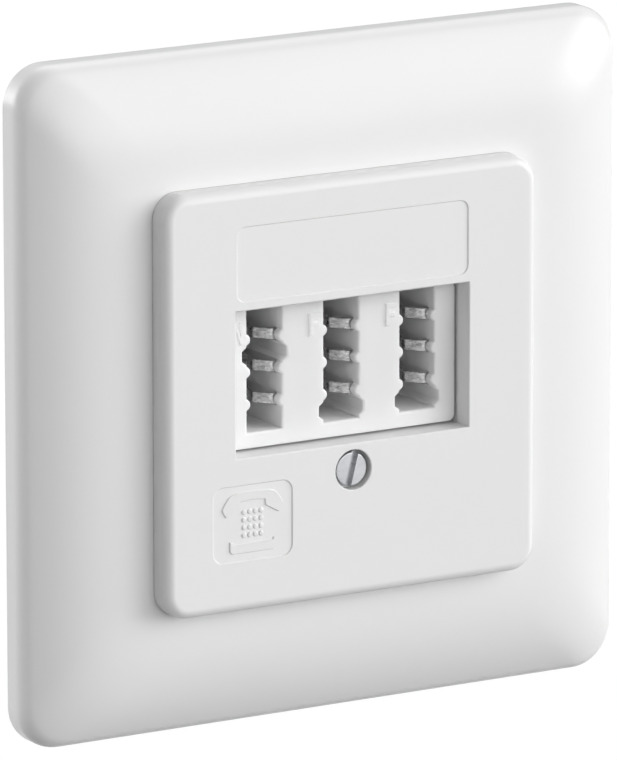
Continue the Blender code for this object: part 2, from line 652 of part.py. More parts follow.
def build_contact(name, jack_x, side, row_z):
    """Spring strip: its lip lies behind a nose, it bows to the slot's middle and ends in a board tail."""
    end_depth = PIN_END - BLOCK_FACE
    lip_depth = NOSE_DEPTH + TIP_BEHIND_NOSE
    neck = SLOT_DEPTH + SLOT_FLOOR + GAP
    corners = [
        (TIP_OUT, lip_depth),
        (LIP_OUT, lip_depth),
        (BOW_OUT, BOW_DEPTH),
        (ROOT_OUT, ROOT_DEPTH),
        (ROOT_OUT, neck),
    ]
    path = rounded_path(corners, (LIP_RADIUS, BOW_RADIUS, ROOT_RADIUS))
    rows = [(point.x, point.y, STRIP_WIDTH / 2) for point in path]
    rows.append((ROOT_OUT, neck + TAIL_WIDTH / 4, TAIL_WIDTH / 2))
    rows.append((ROOT_OUT, end_depth, TAIL_WIDTH / 2))
    shape = bmesh.new()
    edges = []
    for out, depth, half in rows:
        x = jack_x + side * out
        edges.append([shape.verts.new((x, BLOCK_FACE + depth, row_z + end * half)) for end in (-1, 1)])
    for near, far in zip(edges, edges[1:]):
        shape.faces.new((near[0], near[1], far[1], far[0]))
    mesh = bpy.data.meshes.new(name)
    shape.to_mesh(mesh)
    shape.free()
    made = add(name, mesh, TINNED)
    thick = made.modifiers.new("Solidify", "SOLIDIFY")
    thick.thickness = STRIP_THICKNESS
    thick.offset = 0.0
    thick.use_even_offset = True
    return made


def build_contacts():
    """Six contacts in each jack, three on each side, numbered from the top."""
    for jack, jack_x in enumerate(JACKS, 1):
        for side, side_name in ((-1, "left"), (1, "right")):
            for row, row_z in enumerate(ROWS, 1):
                build_contact(f"contact_{jack}_{side_name}_{row}", jack_x, side, row_z)


def build_screw_insert():
    """Brass bush with two knurled bands and a groove, sunk in the jack block."""
    outer = INSERT_RADIUS
    groove = outer - INSERT_WALL / 3
    band = INSERT_LENGTH / 3
    heights = (0.0, -band, -band, -2 * band, -2 * band, -3 * band)
    radii = (outer, outer, groove, groove, outer, outer)
    profile = list(zip(radii, heights)) + [(SCREW_BORE, -INSERT_LENGTH), (SCREW_BORE, 0.0)]
    made = turned("screw_insert", profile, BRASS, hollow=True)
    return face_front(made, 0.0, STEM_FRONT + GAP, SCREW_Z)


def build_centre_screw():
    """Slotted screw that holds the centre plate, and with it the frame."""
    head = (SCREW_HEAD_RADIUS, SCREW_HEAD_HEIGHT)
    shank = (SCREW_SHANK_RADIUS, SCREW_SHANK_LENGTH)
    slot = (SCREW_SLOT, SCREW_SLOT_DEPTH)
    made = slotted_screw("centre_screw", head, shank, slot, SCREW_TURN, ROUND_STEPS, STEEL)
    return face_front(made, 0.0, SCREW_SEAT - GAP, SCREW_Z)


def build_terminals():
    """Brass wire clamps with a board pin each, and their screws."""
    depth = CLAMP_BACK - CLAMP_FRONT
    low = (-CLAMP_WIDTH / 2, CLAMP_FRONT, -CLAMP_HEIGHT / 2)
    high = (CLAMP_WIDTH / 2, CLAMP_BACK, CLAMP_HEIGHT / 2)
    pattern = block("clamp_pattern", low, high, BRASS)
    edges = pattern.modifiers.new("Bevel", "BEVEL")
    edges.width = CLAMP_EDGE
    edges.segments = 1
    pin_half = CLAMP_PIN / 2
    pin_root = CLAMP_BACK - depth / 8
    pin = block("clamp_pin", (-pin_half, pin_root, -pin_half), (pin_half, PIN_END, pin_half))
    boolean(pattern, pin, "UNION")
    middle = (CLAMP_FRONT + CLAMP_BACK) / 2
    bore = flat("wire_bore", [circle(WIRE_BORE_RADIUS)], -CLAMP_HEIGHT, CLAMP_HEIGHT)
    upright = Matrix.Translation((0.0, middle, 0.0)) @ Matrix.Rotation(math.pi / 2, 4, "X")
    bore.data.transform(upright)
    boolean(pattern, bore, "DIFFERENCE")
    thread = flat("clamp_thread", [circle(CLAMP_SCREW_RADIUS + GAP)], CLAMP_FRONT - PAST, middle)
    boolean(pattern, thread, "DIFFERENCE")
    bake(pattern)
    for tool in (pin, bore, thread):
        bpy.data.objects.remove(tool, do_unlink=True)

    head = (CLAMP_HEAD_RADIUS, CLAMP_HEAD_HEIGHT)
    shank = (CLAMP_SCREW_RADIUS, depth / 2)
    slot = (CLAMP_SCREW_SLOT, CLAMP_HEAD_HEIGHT / 2)
    screw = slotted_screw("screw_pattern", head, shank, slot, 0.0, SMALL_ROUND_STEPS, STEEL)
    for number, (x, z) in enumerate(TERMINALS, 1):
        clamp = add(f"terminal_clamp_{number}", pattern.data.copy(), BRASS)
        clamp.location = (x, 0.0, z)
        made = add(f"terminal_screw_{number}", screw.data.copy(), STEEL)
        face_front(made, x, CLAMP_FRONT - GAP, z)
    for used in (pattern, screw):
        bpy.data.objects.remove(used, do_unlink=True)


def build_support_ring():
    """Steel plate between the block's flange and the wall, with slots for the wall box screws."""
    opening_middle = (RING_TOP_OPEN + RING_BOTTOM_OPEN) / 2
    opening_height = RING_TOP_OPEN - RING_BOTTOM_OPEN
    outlines = [
        rounded(RING_SIZE, RING_SIZE, RING_CORNER),
        rounded(2 * RING_HALF_OPEN, opening_height, COVER_CORNER + RING_PLAY, opening_middle),
    ]
    reach = BOX_SCREW_SPACING / 2
    for side in (-1, 1):
        outlines.append(obround(BOX_SLOT_LENGTH, BOX_SLOT_WIDTH, side * reach, 0.0, True))
        outlines.append(obround(BOX_SLOT_LENGTH, BOX_SLOT_WIDTH, 0.0, side * reach, False))
    outlines += [obround(WIRE_HOLE_HEIGHT, WIRE_HOLE_WIDTH, x, z, True) for x, z in WIRE_HOLES]
    outlines += [circle(RIVET_RADIUS + GAP, x, z) for x, z in RIVETS]
    return flat("support_ring", outlines, -RING_THICKNESS, 0.0, STEEL)


def build_rivets():
    """Rivets with a head on the flange and a closing head behind the ring."""
    grip = 2 * GAP - FLANGE_FRONT
    profile = (
        (0.0, RIVET_HEAD_HEIGHT),
        (RIVET_HEAD_RADIUS - RIVET_HEAD_SLOPE, RIVET_HEAD_HEIGHT),
        (RIVET_HEAD_RADIUS, 0.0),
        (RIVET_RADIUS, 0.0),
        (RIVET_RADIUS, -grip),
        (RIVET_HEAD_RADIUS, -grip),
        (RIVET_HEAD_RADIUS - RIVET_HEAD_SLOPE, -grip - RIVET_HEAD_HEIGHT),
        (0.0, -grip - RIVET_HEAD_HEIGHT),
    )
    for number, (x, z) in enumerate(RIVETS, 1):
        made = turned(f"rivet_{number}", profile, STEEL, steps=HOLE_STEPS)
        face_front(made, x, FLANGE_FRONT - GAP, z)


def build_contact_board():
    """Circuit board on the rear posts, with a hole for each tail, pin and cover screw."""
    height = COVER_INSIDE_TOP - COVER_INSIDE_BOTTOM - 2 * GAP
    middle = (COVER_INSIDE_TOP + COVER_INSIDE_BOTTOM) / 2
    corner = COVER_CORNER - COVER_WALL
    outlines = [rounded(2 * (COVER_INSIDE_HALF - GAP), height, corner, middle)]
    for x in JACKS:
        for side in (-1, 1):
            outlines += [circle(BOARD_HOLE_RADIUS, x + side * ROOT_OUT, z) for z in ROWS]
    outlines += [circle(BOARD_HOLE_RADIUS, x, z) for x, z in TERMINALS]
    outlines += [circle(COVER_SCREW_BORE, x, z) for x, z in COVER_SCREWS]
    return flat("contact_board", outlines, BOARD_FRONT, BOARD_BACK, BOARD)


def build_rear_cover():
    """Cap over the board and the contact tails, on two screws."""
    inside_width = 2 * COVER_INSIDE_HALF
    inside_height = COVER_INSIDE_TOP - COVER_INSIDE_BOTTOM
    middle = (COVER_INSIDE_TOP + COVER_INSIDE_BOTTOM) / 2
    inside = (inside_width, inside_height, COVER_CORNER - COVER_WALL, middle)
    outside = (inside_width + 2 * COVER_WALL, inside_height + 2 * COVER_WALL, COVER_CORNER, middle)
    edge = COVER_WALL / 2
    chamfered = (outside[0] - 2 * edge, outside[1] - 2 * edge, COVER_CORNER - edge, middle)
    made = loft(
        "rear_cover",
        [
            (COVER_INSIDE_BACK, *inside),
            (COVER_FRONT, *inside),
            (COVER_FRONT, *outside),
            (COVER_BACK - edge, *outside),
            (COVER_BACK, *chamfered),
        ],
        BLOCK_WHITE,
    )
    pillars = [circle(POST_RADIUS, x, z, ROUND_STEPS) for x, z in COVER_SCREWS]
    pillar_front = BOARD_BACK + GAP
    boolean(made, flat("pillars", pillars, pillar_front, COVER_INSIDE_BACK + COVER_WALL / 2), "UNION")
    sinks = [circle(COVER_SCREW_HEAD + GAP, x, z, ROUND_STEPS) for x, z in COVER_SCREWS]
    boolean(made, flat("head_sinks", sinks, COVER_SEAT, COVER_BACK + PAST), "DIFFERENCE")
    bores = [circle(COVER_SCREW_BORE, x, z) for x, z in COVER_SCREWS]
    boolean(made, flat("cover_bores", bores, pillar_front - PAST, COVER_BACK), "DIFFERENCE")
    return made


def build_cover_screws():
    """Screws that hold the rear cover and the board to the block's posts."""
    head = (COVER_SCREW_HEAD, COVER_SCREW_HEAD_HEIGHT)
    shank = (COVER_SCREW_SHANK, COVER_SCREW_LENGTH)
    slot = (CLAMP_SCREW_SLOT, COVER_SCREW_HEAD_HEIGHT / 2)
    for number, (x, z) in enumerate(COVER_SCREWS, 1):
        name = f"cover_screw_{number}"
        made = slotted_screw(name, head, shank, slot, 0.0, SMALL_ROUND_STEPS, STEEL)
        face_back(made, x, COVER_SEAT + GAP, z)


def shade():
    """Round faces are shaded smooth and edges stay sharp, on the finished meshes."""
    for made in PARTS.objects:
        bake(made)
        made.data.shade_smooth()
        made.data.set_sharp_from_angle(angle=math.radians(SHARP_ANGLE))


build_cover_frame()
build_centre_plate()
build_jack_block()
build_contacts()
build_screw_insert()
build_centre_screw()
build_terminals()
build_support_ring()
build_rivets()
build_contact_board()
build_rear_cover()
build_cover_screws()
shade()
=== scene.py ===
"""Looks of a flush telephone wall socket with three coded jacks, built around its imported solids.

Units are metres and +Z is up. The socket faces -Y, the wall is the plane Y = 0, and a depth in
front of the wall is negative.
"""

import math

import bmesh
import bpy
from mathutils import Matrix, Vector


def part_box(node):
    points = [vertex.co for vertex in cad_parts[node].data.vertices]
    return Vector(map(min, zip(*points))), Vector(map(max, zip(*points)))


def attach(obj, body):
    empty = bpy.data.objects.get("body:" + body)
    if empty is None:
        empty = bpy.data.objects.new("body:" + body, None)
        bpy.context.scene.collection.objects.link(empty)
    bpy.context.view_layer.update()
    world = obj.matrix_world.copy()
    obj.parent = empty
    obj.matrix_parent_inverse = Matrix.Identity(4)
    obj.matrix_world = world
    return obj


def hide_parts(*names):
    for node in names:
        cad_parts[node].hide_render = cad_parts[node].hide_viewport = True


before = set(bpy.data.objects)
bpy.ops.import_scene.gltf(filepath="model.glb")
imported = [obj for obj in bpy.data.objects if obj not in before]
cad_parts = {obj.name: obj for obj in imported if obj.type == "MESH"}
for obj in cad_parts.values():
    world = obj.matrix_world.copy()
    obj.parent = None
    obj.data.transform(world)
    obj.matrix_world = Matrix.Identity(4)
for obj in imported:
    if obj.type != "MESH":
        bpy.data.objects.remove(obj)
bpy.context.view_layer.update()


def middle(name, axis):
    """Middle of a solid's box along one axis."""
    low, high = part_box(name)
    return (low[axis] + high[axis]) / 2


# Places and sizes that the solids give
FRAME_LOW, FRAME_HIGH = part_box("cover_frame")
PLATE_LOW, PLATE_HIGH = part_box("centre_plate")
BLOCK_LOW, BLOCK_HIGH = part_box("jack_block")
SCREW_LOW, SCREW_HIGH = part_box("centre_screw")
RING_LOW, RING_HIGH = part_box("support_ring")
COVER_LOW, COVER_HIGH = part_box("rear_cover")
BOARD_LOW, BOARD_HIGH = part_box("contact_board")
CLAMP_LOW, CLAMP_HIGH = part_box("terminal_clamp_1")
INSERT_LOW, INSERT_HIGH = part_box("screw_insert")
FRAME_SIZE = FRAME_HIGH.x - FRAME_LOW.x
PLATE_SIZE = PLATE_HIGH.x - PLATE_LOW.x
PLATE_FACE = PLATE_LOW.y
PLATE_RIM = PLATE_HIGH.y
BLOCK_FACE = BLOCK_LOW.y
SCREW_Z = middle("centre_screw", 2)
JACKS = [
    (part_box(f"contact_{jack}_left_1")[0].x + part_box(f"contact_{jack}_right_1")[1].x) / 2
    for jack in (1, 2, 3)
]
ROWS = [middle(f"contact_1_left_{row}", 2) for row in (1, 2, 3)]
CLAMPS = [(middle(f"terminal_clamp_{i}", 0), middle(f"terminal_clamp_{i}", 2)) for i in range(1, 11)]
RIVETS = [(middle(f"rivet_{i}", 0), middle(f"rivet_{i}", 2)) for i in range(1, 5)]
COVER_SCREWS = [(middle(f"cover_screw_{i}", 0), middle(f"cover_screw_{i}", 2)) for i in (1, 2)]

# Gap between pieces that touch, and how far a cutter runs past a surface
GAP = 0.0003
PAST = 0.001

# Seam that the photograph shows between the plate and the frame, finer than the solids' gap
SEAM = 0.00002

# Cover frame
FRAME_CORNER = 0.005
FRAME_SIDE = 0.0019
FRAME_WALL = 0.002
FRAME_ROLL = 0.0028
FRAME_SHOULDER = 42.0
FRAME_SLOPE = 35.0
FRAME_MIDDLE_CORNER = 0.0065
FRAME_EDGE = 0.00006
COLLAR_WALL = 0.0016
LEDGE_HEIGHT = 0.0049
LEDGE_THICKNESS = 0.0011
LEDGE_WIDTH = 0.0016

# Centre plate
PLATE_CORNER = 0.0031
PLATE_WALL = 0.0018
PLATE_EDGE = 0.0012
SHARP_EDGE = 0.00012
WINDOW_EDGE = 0.0002
WINDOW_COLLAR = 0.0013
LABEL_WIDTH = 0.0312
LABEL_HEIGHT = 0.00897
LABEL_ABOVE_WINDOW = 0.00095
LABEL_CORNER = 0.0012
SIGN_WIDTH = 0.0107
SIGN_HEIGHT = 0.00915
SIGN_LEFT = 0.00612
SIGN_UP = 0.00603
SIGN_CORNER = 0.0014
FIELD_DEPTH = 0.00016
FIELD_SLOPE = 0.00012
RECESS_RADIUS = 0.00241
SCREW_BOSS_WALL = 0.00105

# Telephone sign in its field, about the field's middle
RELIEF_HEIGHT = 0.00016
RELIEF_SLOPE = 0.0001
GRIP_TOP = ((0.0, 0.00366), (0.0008, 0.00365), (0.0015, 0.00362), (0.0022, 0.00354), (0.0028, 0.0034))
EAR_OUTSIDE = (
    (0.0031, 0.00322), (0.0034, 0.00288), (0.0038, 0.0023), (0.00402, 0.00186), (0.00392, 0.00158)
)
EAR_INSIDE = ((0.0036, 0.00102), (0.0034, 0.00098), (0.00176, 0.00188), (0.0017, 0.00262), (0.0, 0.00277))
CRADLE_HALF = 0.00302
CRADLE_TOP = -0.00245
CRADLE_BOTTOM = -0.00348
CRADLE_HORN = 0.0003
KEY_PITCH_X = 0.00076
KEY_PITCH_Z = 0.00092
KEYS_Z = -0.00007
KEY_RADIUS = 0.00033

# Jack block
SLOT_WIDTH = 0.0047
SLOT_ABOVE_ROWS = 0.00345
SLOT_BELOW_ROWS = 0.0033
SLOT_DEPTH = 0.014
SLOT_FLOOR = 0.0016
SLOT_EDGE = 0.0003
NOSE_RADIUS = 0.00072
NOSE_STAND = 0.0005
NOSE_DEPTH = 0.0012
NOTCH_DEPTH = 0.0006
NOTCH_MOUTH = 0.00205
NOTCH_BOTTOM = 0.00115
JACK_CODES = ("N", "F", "F")
BOSS_END_WALL = 0.00275
BOSS_TOP_WALL = 0.00047
BOSS_BOTTOM_WALL = 0.00185
BOSS_CORNER = 0.0009
STEM_SIDE = 0.0014
STEM_TOP = 0.002
STEM_WALL = 0.0011
STEM_CORNER = 0.0015
FLANGE_THICKNESS = 0.0011
FLANGE_CORNER = 0.003
RIB_PAST_CLAMP = 0.0003
RIB_WIDTH = 0.0008
CODE_LETTER_HEIGHT = 0.0002
CODE_LETTER_SIZE = 0.0026
CODE_LETTER_STROKE = 0.00042
CODE_LETTER_HALF_WIDTH = 0.000728
CODE_LETTER_BAR = 0.6
CODE_LETTER_OUT = 0.00625
CODE_LETTER_Z = 0.0074

# Contacts, as distances from the slot's middle and depths behind the block's face
STRIP_THICKNESS = 0.0003
STRIP_WIDTH = 0.0013
STRIP_EDGE = 0.00006
TAIL_WIDTH = 0.0008
TIP_OUT = 0.0026
TIP_BEHIND_NOSE = 0.0005
LIP_OUT = 0.00195
LIP_RADIUS = 0.0006
BOW_OUT = 0.00032
BOW_DEPTH = 0.0036
BOW_RADIUS = 0.0007
ROOT_OUT = 0.00275
ROOT_DEPTH = 0.0122
ROOT_RADIUS = 0.003

# Screws, bush, rivets and clamps
CENTRE_HEAD_RADIUS = 0.00205
CENTRE_HEAD_HEIGHT = 0.0011
CENTRE_SHANK_RADIUS = 0.00145
CENTRE_SLOT = 0.0008
CENTRE_SLOT_DEPTH = 0.0006
CENTRE_TURN = -15.0
HEAD_EDGE = 0.00018
THREAD_PITCH = 0.0005
THREAD_DEPTH = 0.0002
CLAMP_HEAD_RADIUS = 0.0019
CLAMP_HEAD_HEIGHT = 0.0012
CLAMP_SHANK_RADIUS = 0.0012
CLAMP_SHANK_LENGTH = 0.0018
SMALL_SLOT = 0.0006
COVER_HEAD_RADIUS = 0.0017
COVER_HEAD_HEIGHT = 0.0011
COVER_SHANK_RADIUS = 0.0008
COVER_SHANK_LENGTH = 0.0068
INSERT_WALL = 0.0006
KNURL_TEETH = 24
KNURL_DEPTH = 0.00008
RIVET_RADIUS = 0.0009
RIVET_HEAD_RADIUS = 0.0014
RIVET_HEAD_HEIGHT = 0.0006
CLAMP_EDGE = 0.0003
CLAMP_PIN = 0.0008
WIRE_BORE_RADIUS = 0.001

# Support ring, board and rear cover
RING_CORNER = 0.009
RING_EDGE = 0.0001
RING_PLAY = 0.0005
BOX_SCREW_SPACING = 0.060
BOX_SLOT_LENGTH = 0.008
BOX_SLOT_WIDTH = 0.0036
WIRE_HOLE_WIDTH = 0.0034
WIRE_HOLE_HEIGHT = 0.005
WIRE_HOLE_Z = 0.0076
COVER_WALL = 0.0013
COVER_CORNER = 0.003
COVER_EDGE = 0.0009

# How finely round shapes are drawn
CORNER_STEPS = 16
ROUND_STEPS = 64
EDGE_STEPS = 5
ROLL_STEPS = 14
CROWN_STEPS = 44
BEND_STEPS = 12
SHARP_ANGLE = 32.0
LEAST_MITRE = 0.4

# Where the camera stands: turned to the left of straight ahead, above, and beside its aim
CAMERA_TURN = 30.42
CAMERA_TILT = 13.0958
CAMERA_ROLL = -0.07
CAMERA_DISTANCE = 1.05455
CAMERA_RIGHT = 0.00012
CAMERA_UP = -0.00121
CAMERA_LENS = 426.95
CAMERA_SENSOR = 36.0

# Soft lights of the studio: degrees to the right of straight ahead, degrees up, and strength
SOFT_LIGHTS = (
    (60, 6, 6.9),
    (45, 33, 2.55),
    (10, 6, 3.9),
    (150, 60, 2.8),
    (150, 33, 0.8),
    (-140, 6, 6.3),
    (-120, 6, 1.8),
    (-130, 33, 0.8),
    (-60, 6, 1.15),
    (-20, 33, 0.4),
)
LIGHT_FOCUS = 18.0
AMBIENT = 0.01

# Floor: its reach, its own grey for the light that it throws back, and the white that is seen of it
FLOOR_REACH = 4.0
FLOOR_GREY = "8C8C8C"
FLOOR_WHITE_SHARE = 0.85
FLOOR_WHITE = 1.16

# Places that follow
BLOCK_BACK = BLOCK_FACE + SLOT_DEPTH + SLOT_FLOOR
SLOT_TOP = ROWS[0] + SLOT_ABOVE_ROWS
SLOT_BOTTOM = ROWS[2] - SLOT_BELOW_ROWS
BOSS_TOP = SLOT_TOP + BOSS_TOP_WALL
BOSS_BOTTOM = SLOT_BOTTOM - BOSS_BOTTOM_WALL
BOSS_HALF = JACKS[2] + SLOT_WIDTH / 2 + BOSS_END_WALL
WINDOW_TOP = BOSS_TOP + GAP
WINDOW_BOTTOM = BOSS_BOTTOM - GAP
WINDOW_HALF = BOSS_HALF + GAP
WINDOW_BACK = PLATE_RIM - GAP
PLATE_INSIDE = PLATE_FACE + PLATE_WALL
SCREW_SEAT = SCREW_LOW.y + CENTRE_HEAD_HEIGHT + GAP
SCREW_BORE = CENTRE_SHANK_RADIUS + GAP
INSERT_RADIUS = SCREW_BORE + INSERT_WALL
STEM_HALF = BOSS_HALF + STEM_SIDE
STEM_TOP_Z = BOSS_TOP + STEM_TOP
STEM_BOTTOM_Z = SCREW_Z - INSERT_RADIUS - GAP - STEM_WALL
FLANGE_BACK = RING_LOW.y - GAP
FLANGE_FRONT = FLANGE_BACK - FLANGE_THICKNESS
PIN_END = CLAMP_HIGH.y
TERMINAL_PITCH = CLAMPS[1][0] - CLAMPS[0][0]
POST_RADIUS = TERMINAL_PITCH / 2 - CLAMP_PIN / 2 - 2 * GAP
RIVET_X, RIVET_Z = RIVETS[1]
WIRE_HOLES = [(side * RIVET_X, end * WIRE_HOLE_Z) for side in (-1, 1) for end in (-1, 1)]
FIELD_FLOOR = PLATE_FACE + FIELD_DEPTH
SIGN_X = PLATE_LOW.x + SIGN_LEFT + SIGN_WIDTH / 2
SIGN_Z = PLATE_LOW.z + SIGN_UP + SIGN_HEIGHT / 2


# Nodes and colours
def put(tree, kind, inputs=None, **settings):
    """Adds a node to a tree: an input given as a socket is linked, and any other is set."""
    made = tree.nodes.new(kind)
    for key, value in settings.items():
        setattr(made, key, value)
    for key, value in (inputs or {}).items():
        if isinstance(value, bpy.types.NodeSocket):
            tree.links.new(value, made.inputs[key])
        else:
            made.inputs[key].default_value = value
    return made


def linear(colour):
    """Linear colour of an sRGB hex value."""
    parts = [int(colour[i : i + 2], 16) / 255 for i in (0, 2, 4)]
    return (*[p / 12.92 if p <= 0.04045 else ((p + 0.055) / 1.055) ** 2.4 for p in parts], 1.0)


def surface(name, colours, gloss, relief, patterns, reach=(0.3, 0.7), **sockets):
    """Material with a noise pattern each for its colour, its roughness and its relief.

    A pattern is the size of its features in metres, its detail, its roughness and how much finer it
    is along X, Y and Z. reach is the part of the noise that spans a colour or a roughness, and the
    relief is in metres.
    """
    made = bpy.data.materials.new(name)
    made.use_nodes = True
    tree = made.node_tree
    shader = tree.nodes["Principled BSDF"]
    for key, value in sockets.items():
        shader.inputs[key.replace("_", " ")].default_value = value
    place = put(tree, "ShaderNodeTexCoord").outputs["Object"]
    waves = []
    for size, detail, roughness, finer in patterns:
        along = put(tree, "ShaderNodeMapping", {"Vector": place, "Scale": finer}).outputs[0]
        values = {"Vector": along, "Scale": 1 / size, "Detail": detail, "Roughness": roughness}
        waves.append(put(tree, "ShaderNodeTexNoise", values).outputs["Fac"])
    spans = []
    for wave, (low, high) in zip(waves, ((0.0, 1.0), gloss)):
        values = {"Value": wave, "From Min": reach[0], "From Max": reach[1], "To Min": low, "To Max": high}
        spans.append(put(tree, "ShaderNodeMapRange", values).outputs["Result"])
    values = {0: spans[0], 6: linear(colours[0]), 7: linear(colours[1])}
    colour = put(tree, "ShaderNodeMix", values, data_type="RGBA").outputs[2]
    values = {"Height": waves[2], "Distance": relief, "Strength": 1.0}
    bumps = put(tree, "ShaderNodeBump", values).outputs[0]
    for socket, value in (("Base Color", colour), ("Roughness", spans[1]), ("Normal", bumps)):
        tree.links.new(value, shader.inputs[socket])
    return made


# Finishes
EVEN = (1.0, 1.0, 1.0)

# Moulded and polished: a faint cloudiness and an even satin gloss, so edges carry soft lines of light
COVER_PLASTIC = surface(
    "satin gloss white thermoplastic",
    ("F2F2F2", "F1F1F1"),
    (0.266, 0.274),
    0.0000006,
    ((0.012, 0.0, 0.5, EVEN), (0.006, 0.0, 0.5, EVEN), (0.0004, 4.0, 0.6, EVEN)),
    (0.0, 1.0),
    IOR=1.49,
)

# Moulded and duller; light travels 0.8 mm in it, so thin edges and the slots' mouths glow a little
BLOCK_PLASTIC = surface(
    "moulded white polyamide",
    ("F5F5F5", "F3F3F3"),
    (0.4, 0.44),
    0.0000015,
    ((0.004, 0.0, 0.5, EVEN), (0.002, 0.0, 0.5, EVEN), (0.0003, 4.0, 0.6, EVEN)),
    (0.0, 1.0),
    IOR=1.49,
    Subsurface_Weight=1.0,
    Subsurface_Scale=0.0008,
    Subsurface_Radius=EVEN,
)

# Dipped in tin: grey, cloudy and wavy along the strip. The clouds are drawn coarser than real ones,
# which would not show.
ALONG_STRIP = (0.4, 0.4, 1.0)
TINNED_BRONZE = surface(
    "tinned bronze strip",
    ("E6E6E6", "8C8C8C"),
    (0.22, 0.42),
    0.00002,
    ((0.00035, 5.0, 0.7, ALONG_STRIP), (0.0002, 4.0, 0.5, ALONG_STRIP), (0.00025, 3.0, 0.5, ALONG_STRIP)),
    Metallic=1.0,
)

# Zinc over turned or rolled steel: bluish grey clouds, with fine lines that streak its gleam
STREAKS = (0.06, 1.0, 1.0)
SCREW_STEEL = surface(
    "zinc-plated screw steel",
    ("C9CACC", "B2B4B8"),
    (0.24, 0.36),
    0.000008,
    ((0.004, 4.0, 0.6, EVEN), (0.0004, 4.0, 0.6, STREAKS), (0.0004, 4.0, 0.6, STREAKS)),
    Metallic=1.0,
)
RING_STEEL = surface(
    "zinc-plated sheet steel",
    ("C3C7CC", "A9AEB5"),
    (0.28, 0.44),
    0.000008,
    ((0.004, 4.0, 0.6, EVEN), (0.0006, 4.0, 0.6, STREAKS), (0.0006, 4.0, 0.6, STREAKS)),
    Metallic=1.0,
)

# Turned or milled from bar: warm yellow with a slight tarnish, and fine tool lines
TOOL_LINES = (1.0, 8.0, 1.0)
BRASS = surface(
    "machined brass",
    ("E3C27A", "B8924A"),
    (0.24, 0.4),
    0.000006,
    ((0.002, 4.0, 0.6, EVEN), (0.0008, 3.0, 0.5, TOOL_LINES), (0.0008, 3.0, 0.5, TOOL_LINES)),
    Metallic=1.0,
)

# Pressed from paper and resin: brown, with fibres that show and a dull surface
FIBRES = (0.2, 1.0, 1.0)
LAMINATE = surface(
    "phenolic paper laminate",
    ("9C6B3C", "7C4F28"),
    (0.4, 0.55),
    0.00001,
    ((0.0006, 5.0, 0.7, FIBRES),) * 3,
    IOR=1.55,
)


# Shapes
def rounded(width, height, radius, x=0.0, z=0.0):
    """Outline of a rounded rectangle about a point."""
    points = []
    for corner, (side_x, side_z) in enumerate(((1, 1), (-1, 1), (-1, -1), (1, -1))):
        centre_x = x + side_x * (width / 2 - radius)
        centre_z = z + side_z * (height / 2 - radius)
        for step in range(CORNER_STEPS + 1):
            angle = math.pi / 2 * (corner + step / CORNER_STEPS)
            points.append((centre_x + radius * math.cos(angle), centre_z + radius * math.sin(angle)))
    return points


def rectangle(half_width, half_height, x=0.0, z=0.0):
    """Outline of a rectangle about a point."""
    return [(x + a * half_width, z + b * half_height) for a, b in ((1, 1), (-1, 1), (-1, -1), (1, -1))]


def circle(radius, x=0.0, z=0.0, steps=ROUND_STEPS):
    """Outline of a circle about a point."""
    turns = [2 * math.pi * step / steps for step in range(steps)]
    return [(x + radius * math.cos(turn), z + radius * math.sin(turn)) for turn in turns]


def obround(length, width, x, z, upright):
    """Outline of a slot with round ends about a point."""
    points = []
    run = (length - width) / 2
    for end in (0, 1):
        for step in range(CORNER_STEPS + 1):
            angle = math.pi * (end + step / CORNER_STEPS) - math.pi / 2
            along = (run if end == 0 else -run) + width / 2 * math.cos(angle)
            across = width / 2 * math.sin(angle)
            points.append((x - across, z + along) if upright else (x + along, z + across))
    return points


def grown(outline, amount):
    """An outline moved outwards, or inwards where the amount is negative."""
    points = [Vector(point) for point in outline]
    moved = []
    for i, point in enumerate(points):
        before = (point - points[i - 1]).normalized()
        after = (points[(i + 1) % len(points)] - point).normalized()
        side = Vector((before.y, -before.x))
        mitre = (side + Vector((after.y, -after.x))).normalized()
        moved.append(point + mitre * (amount / max(mitre.dot(side), LEAST_MITRE)))
    return moved


def as_object(name, shape):
    """Turns a bmesh into a linked object with its faces outwards."""
    bmesh.ops.recalc_face_normals(shape, faces=shape.faces)
    mesh = bpy.data.meshes.new(name)
    shape.to_mesh(mesh)
    shape.free()
    made = bpy.data.objects.new(name, mesh)
    bpy.context.scene.collection.objects.link(made)
    return made


def bridge(shape, rings, hollow=False):
    """Joins rings of points with faces; a hollow body runs on from its last ring to its first."""
    for near, far in zip(rings, rings[1:] + rings[:1] * hollow):
        for i in range(len(near)):
            shape.faces.new((near[i - 1], near[i], far[i], far[i - 1]))
    if not hollow:
        shape.faces.new(rings[0])
        shape.faces.new(rings[-1])


def prisms(name, outlines, stations):
    """Closed bodies on flat outlines; each station is a depth and how far the outlines grow there."""
    shape = bmesh.new()
    for outline in outlines:
        rings = []
        for depth, growth in stations:
            rings.append([shape.verts.new((x, depth, z)) for x, z in grown(outline, growth)])
        bridge(shape, rings)
    return as_object(name, shape)


def straight(front, back):
    """Stations of a plain prism."""
    return [(front, 0.0), (back, 0.0)]


def quarter(steps=EDGE_STEPS):
    """Points of a quarter round of radius 1, as (what is left of the way up, way in)."""
    turns = [math.pi / 2 * step / steps for step in range(steps + 1)]
    return [(1 - math.sin(turn), 1 - math.cos(turn)) for turn in turns]


def round_mouth(face, radius, back):
    """Stations of a cutter whose mouth rounds the edge of the hole that it cuts in a face."""
    mouth = [(face + radius * inward, radius * left) for left, inward in quarter()]
    return [(face - PAST, radius)] + mouth + [(back, 0.0)]


def round_edge(face, radius, outwards=-1):
    """Stations that round a body's own edge up to its face, the last one lying in the face."""
    return [(face - outwards * radius * left, -radius * inward) for left, inward in quarter()]


